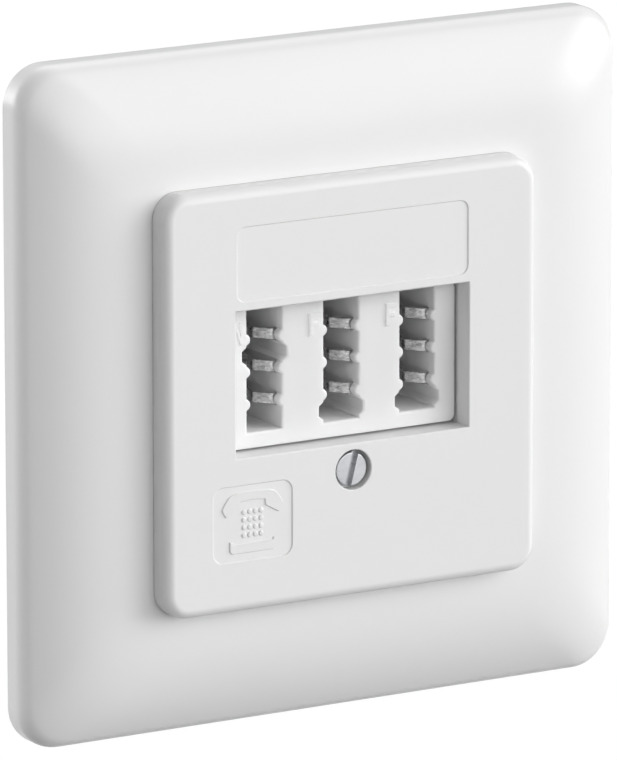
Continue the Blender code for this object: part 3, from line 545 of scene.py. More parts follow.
def combine(target, tool, operation):
    """Cuts a piece by a tool, or joins the tool to it, and removes the tool."""
    step = target.modifiers.new(tool.name, "BOOLEAN")
    step.operation = operation
    step.object = tool
    step.solver = "EXACT"
    settle(target)
    bpy.data.objects.remove(tool, do_unlink=True)


def cut(target, name, outlines, stations):
    """Cuts prisms out of a piece."""
    combine(target, prisms(name, outlines, stations), "DIFFERENCE")


def join(target, name, outlines, stations):
    """Joins prisms to a piece."""
    combine(target, prisms(name, outlines, stations), "UNION")


def settle(made):
    """Puts the evaluated mesh in place of an object's mesh and modifiers."""
    graph = bpy.context.evaluated_depsgraph_get()
    mesh = bpy.data.meshes.new_from_object(made.evaluated_get(graph))
    made.modifiers.clear()
    made.data = mesh
    return made


def soften(made):
    """Shades a piece smooth, with its sharp edges kept and its flat faces flat."""
    made.data.shade_smooth()
    made.data.set_sharp_from_angle(angle=math.radians(SHARP_ANGLE))
    flatten = made.modifiers.new("Flat faces", "WEIGHTED_NORMAL")
    flatten.keep_sharp = True
    flatten.weight = 80
    return settle(made)


def place_piece(made, finish, slot, *nodes):
    """Gives a finished piece its material and its body, and hides the solids that it stands for; slot is
    not used.
    """
    made.data.transform(made.matrix_world)
    made.matrix_world = Matrix.Identity(4)
    made.data.materials.clear()
    made.data.materials.append(finish)
    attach(made, "root")
    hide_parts(*nodes)


def new_tree(name, sockets):
    """A Geometry Nodes tree with named inputs, and the node that holds them."""
    tree = bpy.data.node_groups.new(name, "GeometryNodeTree")
    for label, kind in sockets:
        tree.interface.new_socket(label, in_out="INPUT", socket_type="NodeSocket" + kind)
    tree.interface.new_socket("Geometry", in_out="OUTPUT", socket_type="NodeSocketGeometry")
    return tree, tree.nodes.new("NodeGroupInput").outputs


def end_tree(tree, geometry, finish):
    """Ends a tree with realised instances and a material."""
    whole = put(tree, "GeometryNodeRealizeInstances", {"Geometry": geometry})
    painted = put(tree, "GeometryNodeSetMaterial", {"Geometry": whole.outputs[0], "Material": finish})
    put(tree, "NodeGroupOutput", {"Geometry": painted.outputs[0]})


def run_tree(name, mesh, tree, values):
    """Runs a tree on a mesh and keeps the result as a plain object."""
    made = bpy.data.objects.new(name, mesh)
    bpy.context.scene.collection.objects.link(made)
    step = made.modifiers.new(tree.name, "NODES")
    step.node_group = tree
    for socket in tree.interface.items_tree:
        if socket.in_out == "INPUT" and socket.name in values:
            step[socket.identifier] = values[socket.name]
    settle(made)
    shape = bmesh.new()
    shape.from_mesh(made.data)
    bmesh.ops.recalc_face_normals(shape, faces=shape.faces)
    shape.to_mesh(made.data)
    shape.free()
    return made


def copies_tree():
    """Tree that puts a pattern on each point, turned as the point says."""
    sockets = (("Geometry", "Geometry"), ("Pattern", "Object"), ("Finish", "Material"))
    tree, given = new_tree("pattern on points", sockets)
    pattern = put(tree, "GeometryNodeObjectInfo", {"Object": given["Pattern"]}).outputs["Geometry"]
    turn = put(tree, "GeometryNodeInputNamedAttribute", {"Name": "turn"}, data_type="FLOAT_VECTOR")
    sockets = {"Points": given["Geometry"], "Instance": pattern, "Rotation": turn.outputs["Attribute"]}
    copies = put(tree, "GeometryNodeInstanceOnPoints", sockets)
    end_tree(tree, copies.outputs["Instances"], given["Finish"])
    return tree


COPIES = copies_tree()


def copies(name, pattern, places, finish, turns=None):
    """One mesh with a copy of the pattern at each place; the pattern is removed."""
    mesh = bpy.data.meshes.new(name)
    mesh.from_pydata(places, [], [])
    turn = mesh.attributes.new("turn", "FLOAT_VECTOR", "POINT")
    for i, angles in enumerate(turns or [(0.0, 0.0, 0.0)] * len(places)):
        turn.data[i].vector = angles
    made = run_tree(name, mesh, COPIES, {"Pattern": pattern, "Finish": finish})
    bpy.data.objects.remove(pattern, do_unlink=True)
    return made


# Cover frame
def frame_tree():
    """Tree that carries a section round from an outer rounded square to an inner one.

    The section's points are (share of the way from the outer to the inner outline, height). A
    third outline, half way in, bends the way in the corners.
    """
    sockets = (
        ("Outer size", "Float"),
        ("Outer corner", "Float"),
        ("Middle size", "Float"),
        ("Middle corner", "Float"),
        ("Inner size", "Float"),
        ("Inner corner", "Float"),
        ("Corner steps", "Int"),
        ("Section", "Object"),
        ("Finish", "Material"),
    )
    tree, given = new_tree("section round two squares", sockets)

    outlines = []
    for which in ("Outer", "Middle", "Inner"):
        size = given[which + " size"]
        square = put(tree, "GeometryNodeCurvePrimitiveQuadrilateral", {"Width": size, "Height": size})
        values = {"Curve": square.outputs[0], "Count": given["Corner steps"]}
        values["Radius"] = given[which + " corner"]
        outlines.append(put(tree, "GeometryNodeFilletCurve", values, mode="POLY").outputs[0])
    section = put(tree, "GeometryNodeObjectInfo", {"Object": given["Section"]}).outputs["Geometry"]
    around = put(tree, "GeometryNodeAttributeDomainSize", {0: outlines[0]}, component="CURVE")
    around = around.outputs["Point Count"]
    along = put(tree, "GeometryNodeAttributeDomainSize", {0: section}, component="MESH")
    along = along.outputs["Point Count"]
    sizes = {"Size X": around, "Size Y": along}
    for side, count in (("Vertices X", around), ("Vertices Y", along)):
        sizes[side] = put(tree, "ShaderNodeMath", {0: count, 1: 1.0}, operation="ADD").outputs[0]
    grid = put(tree, "GeometryNodeMeshGrid", sizes).outputs["Mesh"]
    here = put(tree, "GeometryNodeInputPosition").outputs[0]
    parts = put(tree, "ShaderNodeSeparateXYZ", {0: here}).outputs
    picked = []
    for part, count in ((parts[0], around), (parts[1], along)):
        values = {0: count, 1: 0.5, 2: part}
        number = put(tree, "ShaderNodeMath", values, operation="MULTIPLY_ADD").outputs[0]
        number = put(tree, "ShaderNodeMath", {0: number}, operation="ROUND").outputs[0]
        picked.append(put(tree, "ShaderNodeMath", {0: number, 1: count}, operation="MODULO").outputs[0])
    found = []
    for geometry, index in [(outline, picked[0]) for outline in outlines] + [(section, picked[1])]:
        values = {"Geometry": geometry, "Value": here, "Index": index}
        kind = {"data_type": "FLOAT_VECTOR", "domain": "POINT"}
        found.append(put(tree, "GeometryNodeSampleIndex", values, **kind).outputs[0])
    share = put(tree, "ShaderNodeSeparateXYZ", {0: found.pop()}).outputs
    while len(found) > 1:
        pairs = list(zip(found, found[1:]))
        found = []
        for first, second in pairs:
            values = {0: share[0], 4: first, 5: second}
            way = put(tree, "ShaderNodeMix", values, data_type="VECTOR", clamp_factor=False)
            found.append(way.outputs[1])
    flat = put(tree, "ShaderNodeSeparateXYZ", {0: found[0]}).outputs
    depth = put(tree, "ShaderNodeMath", {0: share[1], 1: -1.0}, operation="MULTIPLY").outputs[0]
    place = put(tree, "ShaderNodeCombineXYZ", {0: flat[0], 1: depth, 2: flat[1]}).outputs[0]
    bent = put(tree, "GeometryNodeSetPosition", {"Geometry": grid, "Position": place}).outputs[0]
    closed = put(tree, "GeometryNodeMergeByDistance", {"Geometry": bent, "Distance": 0.000001})
    end_tree(tree, closed.outputs[0], given["Finish"])
    return tree


def crowned(start, end, side, roll, height, steps):
    """Section, as (inward, height): up the side, round the roll and over a crown that levels out."""
    slope, roll_end = math.radians(FRAME_SLOPE), math.radians(90.0 - FRAME_SHOULDER)
    points = [(start, 0.0)]
    for step in range(ROLL_STEPS + 1):
        turn = roll_end * step / ROLL_STEPS
        points.append((start + roll * (1 - math.cos(turn)), side + roll * math.sin(turn)))
    shoulder, low = points[-1]
    power = math.tan(slope) * (end - shoulder) / (height - low)
    for step in range(1, steps + 1):
        share = step / steps
        rise = 1 - (1 - share) ** power
        points.append((shoulder + (end - shoulder) * share, low + (height - low) * rise))
    return points


def build_cover_frame():
    """Frame shell with its crowned face, the wall round the centre plate and the ledge behind it."""
    height = -FRAME_LOW.y
    opening = PLATE_SIZE + 2 * SEAM
    run = (FRAME_SIZE - opening) / 2
    section = crowned(0.0, run - FRAME_EDGE, FRAME_SIDE, FRAME_ROLL, height, CROWN_STEPS)
    section += [(run - FRAME_EDGE * left, height - FRAME_EDGE * inward) for left, inward in quarter()[1:]]
    under_ledge = LEDGE_HEIGHT - LEDGE_THICKNESS
    ledge = run + LEDGE_WIDTH
    collar = run - COLLAR_WALL
    section += [(run, LEDGE_HEIGHT), (ledge, LEDGE_HEIGHT), (ledge, under_ledge), (collar, under_ledge)]
    sizes = (FRAME_SIDE / 2, FRAME_ROLL / 2, height - FRAME_WALL, CROWN_STEPS // 2)
    section += reversed(crowned(FRAME_WALL, collar, *sizes))
    mesh = bpy.data.meshes.new("frame_section")
    mesh.from_pydata([(inward / run, up, 0.0) for inward, up in section], [], [])
    profile = bpy.data.objects.new("frame_section", mesh)
    bpy.context.scene.collection.objects.link(profile)
    values = {
        "Outer size": FRAME_SIZE,
        "Outer corner": FRAME_CORNER,
        "Middle size": (FRAME_SIZE + opening) / 2,
        "Middle corner": FRAME_MIDDLE_CORNER,
        "Inner size": opening,
        "Inner corner": PLATE_CORNER + SEAM,
        "Corner steps": CORNER_STEPS,
        "Section": profile,
        "Finish": COVER_PLASTIC,
    }
    made = run_tree("frame_shell", bpy.data.meshes.new("frame_shell"), frame_tree(), values)
    bpy.data.objects.remove(profile, do_unlink=True)
    made.data.shade_smooth()
    made.data.set_sharp_from_angle(angle=math.radians(SHARP_ANGLE))
    place_piece(made, COVER_PLASTIC, "cover_plastic", "cover_frame")


# Centre plate
def handset_outline():
    """Handset of the sign: a flat-topped grip with an ear piece and a mouth piece that hang from it."""
    right = GRIP_TOP + EAR_OUTSIDE + EAR_INSIDE
    return list(reversed(right)) + [(-x, z) for x, z in right[1:-1]]


def cradle_outline():
    """Cradle of the sign: a low bar with a horn at each end."""
    inner = CRADLE_HALF - CRADLE_HORN
    foot = CRADLE_BOTTOM + CRADLE_HORN
    right = [
        (inner, CRADLE_BOTTOM),
        (CRADLE_HALF, foot),
        (CRADLE_HALF, CRADLE_TOP + CRADLE_HORN),
        (inner + CRADLE_HORN / 3, CRADLE_TOP + CRADLE_HORN),
        (inner, CRADLE_TOP),
    ]
    return right + [(-x, z) for x, z in reversed(right)]


def add_sign(plate):
    """Raises the telephone sign from the floor of its field."""
    top = FIELD_FLOOR - RELIEF_HEIGHT
    root = FIELD_FLOOR + RELIEF_HEIGHT
    stations = [(root, RELIEF_SLOPE), (FIELD_FLOOR, RELIEF_SLOPE), (top, 0.0)]
    shapes = (handset_outline(), cradle_outline())
    outlines = [[(SIGN_X + x, SIGN_Z + z) for x, z in shape] for shape in shapes]
    join(plate, "sign_figure", outlines, stations)
    stations = round_edge(top, RELIEF_HEIGHT)[::-1] + [(root, 0.0)]
    key = prisms("key_pattern", [circle(KEY_RADIUS, steps=CORNER_STEPS)], stations)
    places = []
    for column in range(4):
        for row in range(4):
            x = SIGN_X + (column - 1.5) * KEY_PITCH_X
            places.append((x, 0.0, SIGN_Z + KEYS_Z + (row - 1.5) * KEY_PITCH_Z))
    combine(plate, copies("sign_keys", key, places, COVER_PLASTIC), "UNION")


def build_centre_plate():
    """Plate with a rounded edge, a window, a screw recess, a label field and a telephone sign."""
    outline = rounded(PLATE_SIZE, PLATE_SIZE, PLATE_CORNER)
    stations = [(PLATE_INSIDE, -PLATE_WALL), (PLATE_RIM, -PLATE_WALL), (PLATE_RIM, 0.0)]
    for left, inward in quarter(2 * EDGE_STEPS):
        stations.append((PLATE_FACE + PLATE_EDGE * left, -PLATE_EDGE * inward))
    plate = prisms("plate_shell", [outline], stations)

    window_middle = (WINDOW_TOP + WINDOW_BOTTOM) / 2
    window = rectangle(WINDOW_HALF, (WINDOW_TOP - WINDOW_BOTTOM) / 2, 0.0, window_middle)
    within = PLATE_INSIDE - PLATE_WALL / 2
    recess = circle(RECESS_RADIUS, 0.0, SCREW_Z)
    inner = [grown(window, WINDOW_COLLAR)]
    join(plate, "window_collar", inner, straight(within, WINDOW_BACK))
    inner = [grown(recess, SCREW_BOSS_WALL)]
    join(plate, "screw_boss", inner, straight(within, WINDOW_BACK))
    stations = round_mouth(PLATE_FACE, WINDOW_EDGE, WINDOW_BACK + PAST)
    cut(plate, "window", [window], stations)
    stations = round_mouth(PLATE_FACE, SHARP_EDGE, SCREW_SEAT)
    cut(plate, "screw_recess", [recess], stations)
    hole = [circle(SCREW_BORE, 0.0, SCREW_Z)]
    cut(plate, "screw_hole", hole, straight(PLATE_FACE, WINDOW_BACK + PAST))

    label_z = WINDOW_TOP + LABEL_ABOVE_WINDOW + LABEL_HEIGHT / 2
    fields = [
        rounded(LABEL_WIDTH, LABEL_HEIGHT, LABEL_CORNER, 0.0, label_z),
        rounded(SIGN_WIDTH, SIGN_HEIGHT, SIGN_CORNER, SIGN_X, SIGN_Z),
    ]
    stations = [(PLATE_FACE - PAST, 0.0), (PLATE_FACE, 0.0), (FIELD_FLOOR, -FIELD_SLOPE)]
    cut(plate, "fields", fields, stations)
    add_sign(plate)
    place_piece(soften(plate), COVER_PLASTIC, "cover_plastic", "centre_plate")


# Jack block
def slot_outline(x, code, noses):
    """Outline of a jack's slot, with its coding notch and, at its mouth, a nose at each contact row."""
    pitch = ROWS[0] - ROWS[1]
    notch_z = ROWS[0] - pitch / 2 if code == "N" else ROWS[2] - pitch / 2
    side = [
        (0.0, notch_z - NOTCH_MOUTH / 2),
        (-NOTCH_DEPTH, notch_z - NOTCH_BOTTOM / 2),
        (-NOTCH_DEPTH, notch_z + NOTCH_BOTTOM / 2),
        (0.0, notch_z + NOTCH_MOUTH / 2),
    ]
    if noses:
        sunk = NOSE_RADIUS - NOSE_STAND
        spread_angle = math.acos(sunk / NOSE_RADIUS)
        for row in ROWS:
            for step in range(CORNER_STEPS + 1):
                turn = spread_angle * (2 * step / CORNER_STEPS - 1)
                side.append((NOSE_RADIUS * math.cos(turn) - sunk, row + NOSE_RADIUS * math.sin(turn)))
    side.sort(key=lambda point: point[1])
    side = [(0.0, SLOT_BOTTOM)] + side + [(0.0, SLOT_TOP)]
    right = [(x + SLOT_WIDTH / 2 - inward, z) for inward, z in side]
    left = [(x - SLOT_WIDTH / 2 + inward, z) for inward, z in reversed(side)]
    return right + left


def letter_outline(code, x, z):
    """Outline of a jack's code letter about a point."""
    half = CODE_LETTER_SIZE / 2
    stroke = CODE_LETTER_STROKE
    width = CODE_LETTER_HALF_WIDTH
    if code == "F":
        shape = [
            (-width, -half),
            (-width + stroke, -half),
            (-width + stroke, -stroke / 2),
            (width * CODE_LETTER_BAR, -stroke / 2),
            (width * CODE_LETTER_BAR, stroke / 2),
            (-width + stroke, stroke / 2),
            (-width + stroke, half - stroke),
            (width, half - stroke),
            (width, half),
            (-width, half),
        ]
    else:
        right = [
            (width - stroke, -half),
            (width, -half),
            (width, half),
            (width - stroke, half),
            (width - stroke, -half + 2 * stroke),
        ]
        shape = right + [(-a, -b) for a, b in right]
    return [(x + a, z + b) for a, b in shape]


def build_jack_block():
    """Moulded block: boss with three coded slots, flange, terminal ribs and rear posts."""
    boss_height = BOSS_TOP - BOSS_BOTTOM
    boss_outline = rounded(2 * BOSS_HALF, boss_height, BOSS_CORNER, 0.0, BOSS_BOTTOM + boss_height / 2)
    stations = [(PLATE_RIM + PAST, 0.0)] + round_edge(BLOCK_FACE, SHARP_EDGE)
    block = prisms("block_moulding", [boss_outline], stations)
    stem_middle = (STEM_TOP_Z + STEM_BOTTOM_Z) / 2
    stem = rounded(2 * STEM_HALF, STEM_TOP_Z - STEM_BOTTOM_Z, STEM_CORNER, 0.0, stem_middle)
    join(block, "stem", [stem], straight(PLATE_RIM, BLOCK_BACK))
    flange = rounded(
        BLOCK_HIGH.x - BLOCK_LOW.x,
        BLOCK_HIGH.z - BLOCK_LOW.z,
        FLANGE_CORNER,
        0.0,
        (BLOCK_HIGH.z + BLOCK_LOW.z) / 2,
    )
    join(block, "flange", [flange], straight(FLANGE_FRONT, FLANGE_BACK))

    rib_half = (CLAMP_HIGH.z - CLAMP_LOW.z) / 2 + RIB_WIDTH
    places = sorted({(round(x + side * TERMINAL_PITCH / 2, 6), z) for x, z in CLAMPS for side in (-1, 1)})
    ribs = [rectangle(RIB_WIDTH / 2, rib_half, x, z) for x, z in places]
    within = (FLANGE_FRONT + FLANGE_BACK) / 2
    join(block, "ribs", ribs, straight(CLAMP_LOW.y - RIB_PAST_CLAMP, within))
    posts = [circle(POST_RADIUS, x, z) for x, z in COVER_SCREWS]
    join(block, "posts", posts, straight(within, BOARD_LOW.y - GAP))

    mouths = [slot_outline(x, code, True) for x, code in zip(JACKS, JACK_CODES)]
    stations = round_mouth(BLOCK_FACE, SLOT_EDGE, BLOCK_FACE + NOSE_DEPTH + GAP / 4)
    cut(block, "mouths", mouths, stations)
    slot_front = BLOCK_FACE + NOSE_DEPTH
    slots = [slot_outline(x, code, False) for x, code in zip(JACKS, JACK_CODES)]
    cut(block, "slots", slots, straight(slot_front, BLOCK_FACE + SLOT_DEPTH))
    pocket_out = ROOT_OUT + STRIP_THICKNESS / 2 + GAP
    pocket_in = SLOT_WIDTH / 2 - GAP
    pockets = []
    for x in JACKS:
        for side in (-1, 1):
            centre = x + side * (pocket_out + pocket_in) / 2
            half = (pocket_out - pocket_in) / 2
            pockets += [rectangle(half, STRIP_WIDTH / 2 + GAP / 2, centre, z) for z in ROWS]
    stations = straight(slot_front + GAP / 2, BLOCK_BACK + PAST)
    cut(block, "pockets", pockets, stations)

    holes = [circle(RIVET_RADIUS + GAP, x, z) for x, z in RIVETS]
    holes += [rectangle(CLAMP_PIN / 2 + GAP, CLAMP_PIN / 2 + GAP, x, z) for x, z in CLAMPS]
    holes += [obround(WIRE_HOLE_HEIGHT, WIRE_HOLE_WIDTH, x, z, True) for x, z in WIRE_HOLES]
    cut(block, "holes", holes, straight(FLANGE_FRONT - PAST, FLANGE_BACK + PAST))
    bores = [circle(COVER_SHANK_RADIUS + GAP, x, z) for x, z in COVER_SCREWS]
    cut(block, "bores", bores, straight(FLANGE_BACK + PAST, BOARD_LOW.y + PAST))
    bush = [circle(INSERT_RADIUS + GAP, 0.0, SCREW_Z)]
    stations = straight(PLATE_RIM - PAST, INSERT_HIGH.y + GAP)
    cut(block, "bush_hole", bush, stations)
    shank = [circle(SCREW_BORE, 0.0, SCREW_Z)]
    cut(block, "shank_hole", shank, straight(PLATE_RIM, SCREW_HIGH.y + GAP))

    letters = []
    for x, code in zip(JACKS, JACK_CODES):
        letters.append(letter_outline(code, x - CODE_LETTER_OUT + SLOT_WIDTH / 2 + GAP, CODE_LETTER_Z))
    slope = CODE_LETTER_HEIGHT / 2
    top = BLOCK_FACE - CODE_LETTER_HEIGHT
    stations = [(BLOCK_FACE + CODE_LETTER_HEIGHT, slope), (BLOCK_FACE, slope), (top, 0.0)]
    join(block, "letters", letters, stations)
    place_piece(soften(block), BLOCK_PLASTIC, "block_plastic", "jack_block")


# Contacts
def rounded_path(corners, radii):
    """Points of a path whose inner corners are arcs of the given radii."""
    points = [Vector(corners[0])]
    for before, corner, after, radius in zip(corners, corners[1:], corners[2:], radii):
        corner = Vector(corner)
        back = (Vector(before) - corner).normalized()
        on = (Vector(after) - corner).normalized()
        half = back.angle(on) / 2
        centre = corner + (back + on).normalized() * (radius / math.sin(half))
        start = corner + back * (radius / math.tan(half)) - centre
        end = corner + on * (radius / math.tan(half)) - centre
        for step in range(BEND_STEPS + 1):
            points.append(centre + start.slerp(end, step / BEND_STEPS) * radius)
    points.append(Vector(corners[-1]))
    return points


def build_contacts():
    """Spring strips: each has its lip behind a nose, bows to the slot's middle and ends in a tail."""
    neck = SLOT_DEPTH + SLOT_FLOOR + GAP
    lip_depth = NOSE_DEPTH + TIP_BEHIND_NOSE
    corners = [(TIP_OUT, lip_depth), (LIP_OUT, lip_depth), (BOW_OUT, BOW_DEPTH)]
    corners += [(ROOT_OUT, ROOT_DEPTH), (ROOT_OUT, neck)]
    path = rounded_path(corners, (LIP_RADIUS, BOW_RADIUS, ROOT_RADIUS))
    rows = [(point, STRIP_WIDTH / 2) for point in path]
    rows.append((Vector((ROOT_OUT, neck + TAIL_WIDTH / 4)), TAIL_WIDTH / 2))
    rows.append((Vector((ROOT_OUT, PIN_END - BLOCK_FACE)), TAIL_WIDTH / 2))
    shape = bmesh.new()
    rings = []
    for i, (point, half) in enumerate(rows):
        along = rows[min(i + 1, len(rows) - 1)][0] - rows[max(i - 1, 0)][0]
        side = Vector((along.y, -along.x)).normalized() * STRIP_THICKNESS / 2
        ring = []
        for across, up in ((1, -1), (1, 1), (-1, 1), (-1, -1)):
            for first, second in ((0.0, STRIP_EDGE), (STRIP_EDGE, 0.0))[:: across * up]:
                flat = point + side * across * (1 - first / (STRIP_THICKNESS / 2))
                ring.append(shape.verts.new((flat.x, BLOCK_FACE + flat.y, up * (half - second))))
        rings.append(ring)
    bridge(shape, rings)
    pattern = as_object("contact_pattern", shape)
    places = []
    turns = []
    nodes = []
    for jack, x in enumerate(JACKS, 1):
        for side, turn in (("left", math.pi), ("right", 0.0)):
            for row, z in enumerate(ROWS, 1):
                places.append((x, 0.0, z))
                turns.append((0.0, turn, 0.0))
                nodes.append(f"contact_{jack}_{side}_{row}")
    made = copies("contact_strips", pattern, places, TINNED_BRONZE, turns)
    place_piece(soften(made), TINNED_BRONZE, "tinned_spring", *nodes)


# Screws, bush, rivets and clamps
def turned(name, rows, ripple=None, steps=ROUND_STEPS // 2, hollow=False):
    """A round body about +Z from (radius, height) rows, down its outer side from the top.

    ripple gives how much a point's radius shrinks, from its row and its angle.
    """
    shape = bmesh.new()
    rings = []
    for radius, height in rows:
        ring = []
        for step in range(steps):
            angle = 2 * math.pi * step / steps
            reach = radius - (ripple(radius, height, angle) if ripple else 0.0)
            ring.append(shape.verts.new((reach * math.cos(angle), reach * math.sin(angle), height)))
        rings.append(ring)
    bridge(shape, rings, hollow)
    return as_object(name, shape)


def threaded_screw(name, head_radius, head_height, radius, length, slot, slot_depth):
    """Slotted cheese-head screw with a rolled thread; its head stands on its own XY plane."""
    rows = [(head_radius - HEAD_EDGE, head_height)]
    for left, inward in quarter()[1:]:
        rows.append((head_radius - HEAD_EDGE * left, head_height - HEAD_EDGE * inward))
    rows += [(head_radius, 0.0), (radius, 0.0), (radius, -THREAD_PITCH)]
    count = round((length - 2 * THREAD_PITCH) / THREAD_PITCH * 6)
    for step in range(1, count + 1):
        rows.append((radius, -THREAD_PITCH - step * THREAD_PITCH / 6))
    rows.append((radius - THREAD_DEPTH, -length + THREAD_PITCH / 2))
    rows.append((radius / 2, -length))
    ends = (-length + THREAD_PITCH, -THREAD_PITCH)

    def thread(reach, height, angle):
        if reach != radius or not ends[0] < height < ends[1]:
            return 0.0
        turn = (height / THREAD_PITCH - angle / (2 * math.pi)) % 1.0
        return THREAD_DEPTH * abs(2 * turn - 1)

    made = turned(name, rows, thread)
    cutter = prisms(
        name + "_slot",
        [rectangle(slot / 2, 2 * head_radius)],
        round_mouth(-head_height, HEAD_EDGE / 2, -head_height + slot_depth),
    )
    cutter.data.transform(Matrix.Rotation(-math.pi / 2, 4, "X"))
    combine(made, cutter, "DIFFERENCE")
    return made


FACE_FRONT = Matrix.Rotation(math.pi / 2, 4, "X")
FACE_BACK = Matrix.Rotation(-math.pi / 2, 4, "X")


def build_centre_screw():
    """Screw that holds the centre plate, with its slot turned a little."""
    length = SCREW_HIGH.y - SCREW_SEAT + GAP
    sizes = (CENTRE_HEAD_RADIUS, CENTRE_HEAD_HEIGHT, CENTRE_SHANK_RADIUS, length)
    made = threaded_screw("plate_screw", *sizes, CENTRE_SLOT, CENTRE_SLOT_DEPTH)
    made.data.transform(Matrix.Rotation(math.radians(CENTRE_TURN), 4, "Z"))
    made.data.transform(Matrix.Translation((0.0, SCREW_SEAT - GAP, SCREW_Z)) @ FACE_FRONT)
    place_piece(soften(made), SCREW_STEEL, "zinc_plated_steel", "centre_screw")


def build_terminals():
    """Wire clamps and their screws, one of each at every terminal."""
    sizes = (CLAMP_HEAD_RADIUS, CLAMP_HEAD_HEIGHT, CLAMP_SHANK_RADIUS, CLAMP_SHANK_LENGTH)
    screw = threaded_screw("clamp_screw_pattern", *sizes, SMALL_SLOT, CLAMP_HEAD_HEIGHT / 2)
    screw.data.transform(Matrix.Translation((0.0, CLAMP_LOW.y - GAP, 0.0)) @ FACE_FRONT)
    places = [(x, 0.0, z) for x, z in CLAMPS]
    made = copies("terminal_screws", screw, places, SCREW_STEEL)
    names = [f"terminal_screw_{i}" for i in range(1, 11)]
    place_piece(soften(made), SCREW_STEEL, "zinc_plated_steel", *names)

    half_x = (CLAMP_HIGH.x - CLAMP_LOW.x) / 2
    half_z = (CLAMP_HIGH.z - CLAMP_LOW.z) / 2
    back = FLANGE_FRONT - GAP
    outline = rounded(2 * half_x, 2 * half_z, CLAMP_EDGE)
    stations = [(back, -CLAMP_EDGE / 2), (back - CLAMP_EDGE / 2, 0.0)] + round_edge(CLAMP_LOW.y, CLAMP_EDGE)
    clamp = prisms("clamp_pattern", [outline], stations)
    pin = [rectangle(CLAMP_PIN / 2, CLAMP_PIN / 2)]
    join(clamp, "pin", pin, straight(back - CLAMP_EDGE, PIN_END))
    centre = (CLAMP_LOW.y + back) / 2
    bore = prisms("wire_bore", [circle(WIRE_BORE_RADIUS)], straight(-2 * half_z, 2 * half_z))
    bore.data.transform(Matrix.Translation((0.0, centre, 0.0)) @ Matrix.Rotation(math.pi / 2, 4, "X"))
    combine(clamp, bore, "DIFFERENCE")
    tap = [circle(CLAMP_SHANK_RADIUS + GAP)]
    cut(clamp, "tap", tap, straight(CLAMP_LOW.y - PAST, centre))
    made = copies("wire_clamps", clamp, places, BRASS)
    names = [f"terminal_clamp_{i}" for i in range(1, 11)]
    place_piece(soften(made), BRASS, "brass", *names)


def build_screw_bush():
    """Brass bush with two knurled bands and a groove between them."""
    length = INSERT_HIGH.y - INSERT_LOW.y
    band = length / 3
    groove = INSERT_RADIUS - INSERT_WALL / 3
    outside = [(INSERT_RADIUS, 0.0), (INSERT_RADIUS, -band), (groove, -band)]
    outside += [(radius, -length - height) for radius, height in reversed(outside)]
    rows = [(SCREW_BORE, 0.0)] + outside + [(SCREW_BORE, -length)]

    def knurl(reach, height, angle):
        if reach != INSERT_RADIUS:
            return 0.0
        return KNURL_DEPTH * abs(2 * (angle * KNURL_TEETH / (2 * math.pi) % 1.0) - 1)

    made = turned("screw_bush", rows, knurl, 2 * KNURL_TEETH, True)
    made.data.transform(Matrix.Translation((0.0, INSERT_LOW.y, SCREW_Z)) @ FACE_FRONT)
    place_piece(soften(made), BRASS, "brass", "screw_insert")


def build_rivets():
    """Rivets with a domed head on the flange and a closing head behind the ring."""
    low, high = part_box("rivet_1")
    grip_front = low.y + RIVET_HEAD_HEIGHT
    grip_back = high.y - RIVET_HEAD_HEIGHT
    rows = []
    for step in range(1, EDGE_STEPS + 2):
        turn = math.pi / 2 * step / (EDGE_STEPS + 1)
        rows.append((RIVET_HEAD_RADIUS * math.sin(turn), -low.y - RIVET_HEAD_HEIGHT * (1 - math.cos(turn))))
    rows += [(RIVET_RADIUS, -grip_front), (RIVET_RADIUS, -grip_back)]
    for step in range(EDGE_STEPS + 1):
        turn = math.pi / 2 * step / (EDGE_STEPS + 1)
        rows.append((RIVET_HEAD_RADIUS * math.cos(turn), -grip_back - RIVET_HEAD_HEIGHT * math.sin(turn)))
    pattern = turned("rivet_pattern", rows)
    pattern.data.transform(FACE_FRONT)
    made = copies("ring_rivets", pattern, [(x, 0.0, z) for x, z in RIVETS], RING_STEEL)
    names = [f"rivet_{i}" for i in range(1, 5)]
    place_piece(soften(made), RING_STEEL, "zinc_plated_steel", *names)


# Ring, board and rear cover
def build_support_ring():
    """Stamped steel plate with slots for the wall box screws; stamping rounds its front edges."""
    size = RING_HIGH.x - RING_LOW.x
    stations = [(RING_HIGH.y, 0.0)] + round_edge(RING_LOW.y, RING_EDGE)
    made = prisms("ring_plate", [rounded(size, size, RING_CORNER)], stations)
    half = COVER_HIGH.x + RING_PLAY
    top = COVER_HIGH.z + RING_PLAY
    bottom = COVER_LOW.z - RING_PLAY
    holes = [rounded(2 * half, top - bottom, COVER_CORNER + RING_PLAY, 0.0, (top + bottom) / 2)]
    reach = BOX_SCREW_SPACING / 2
    for side in (-1, 1):
        holes.append(obround(BOX_SLOT_LENGTH, BOX_SLOT_WIDTH, side * reach, 0.0, True))
        holes.append(obround(BOX_SLOT_LENGTH, BOX_SLOT_WIDTH, 0.0, side * reach, False))
    holes += [obround(WIRE_HOLE_HEIGHT, WIRE_HOLE_WIDTH, x, z, True) for x, z in WIRE_HOLES]
    holes += [circle(RIVET_RADIUS + GAP, x, z) for x, z in RIVETS]
    stations = round_mouth(RING_LOW.y, RING_EDGE, RING_HIGH.y + PAST)
    cut(made, "ring_holes", holes, stations)
    place_piece(soften(made), RING_STEEL, "zinc_plated_steel", "support_ring")


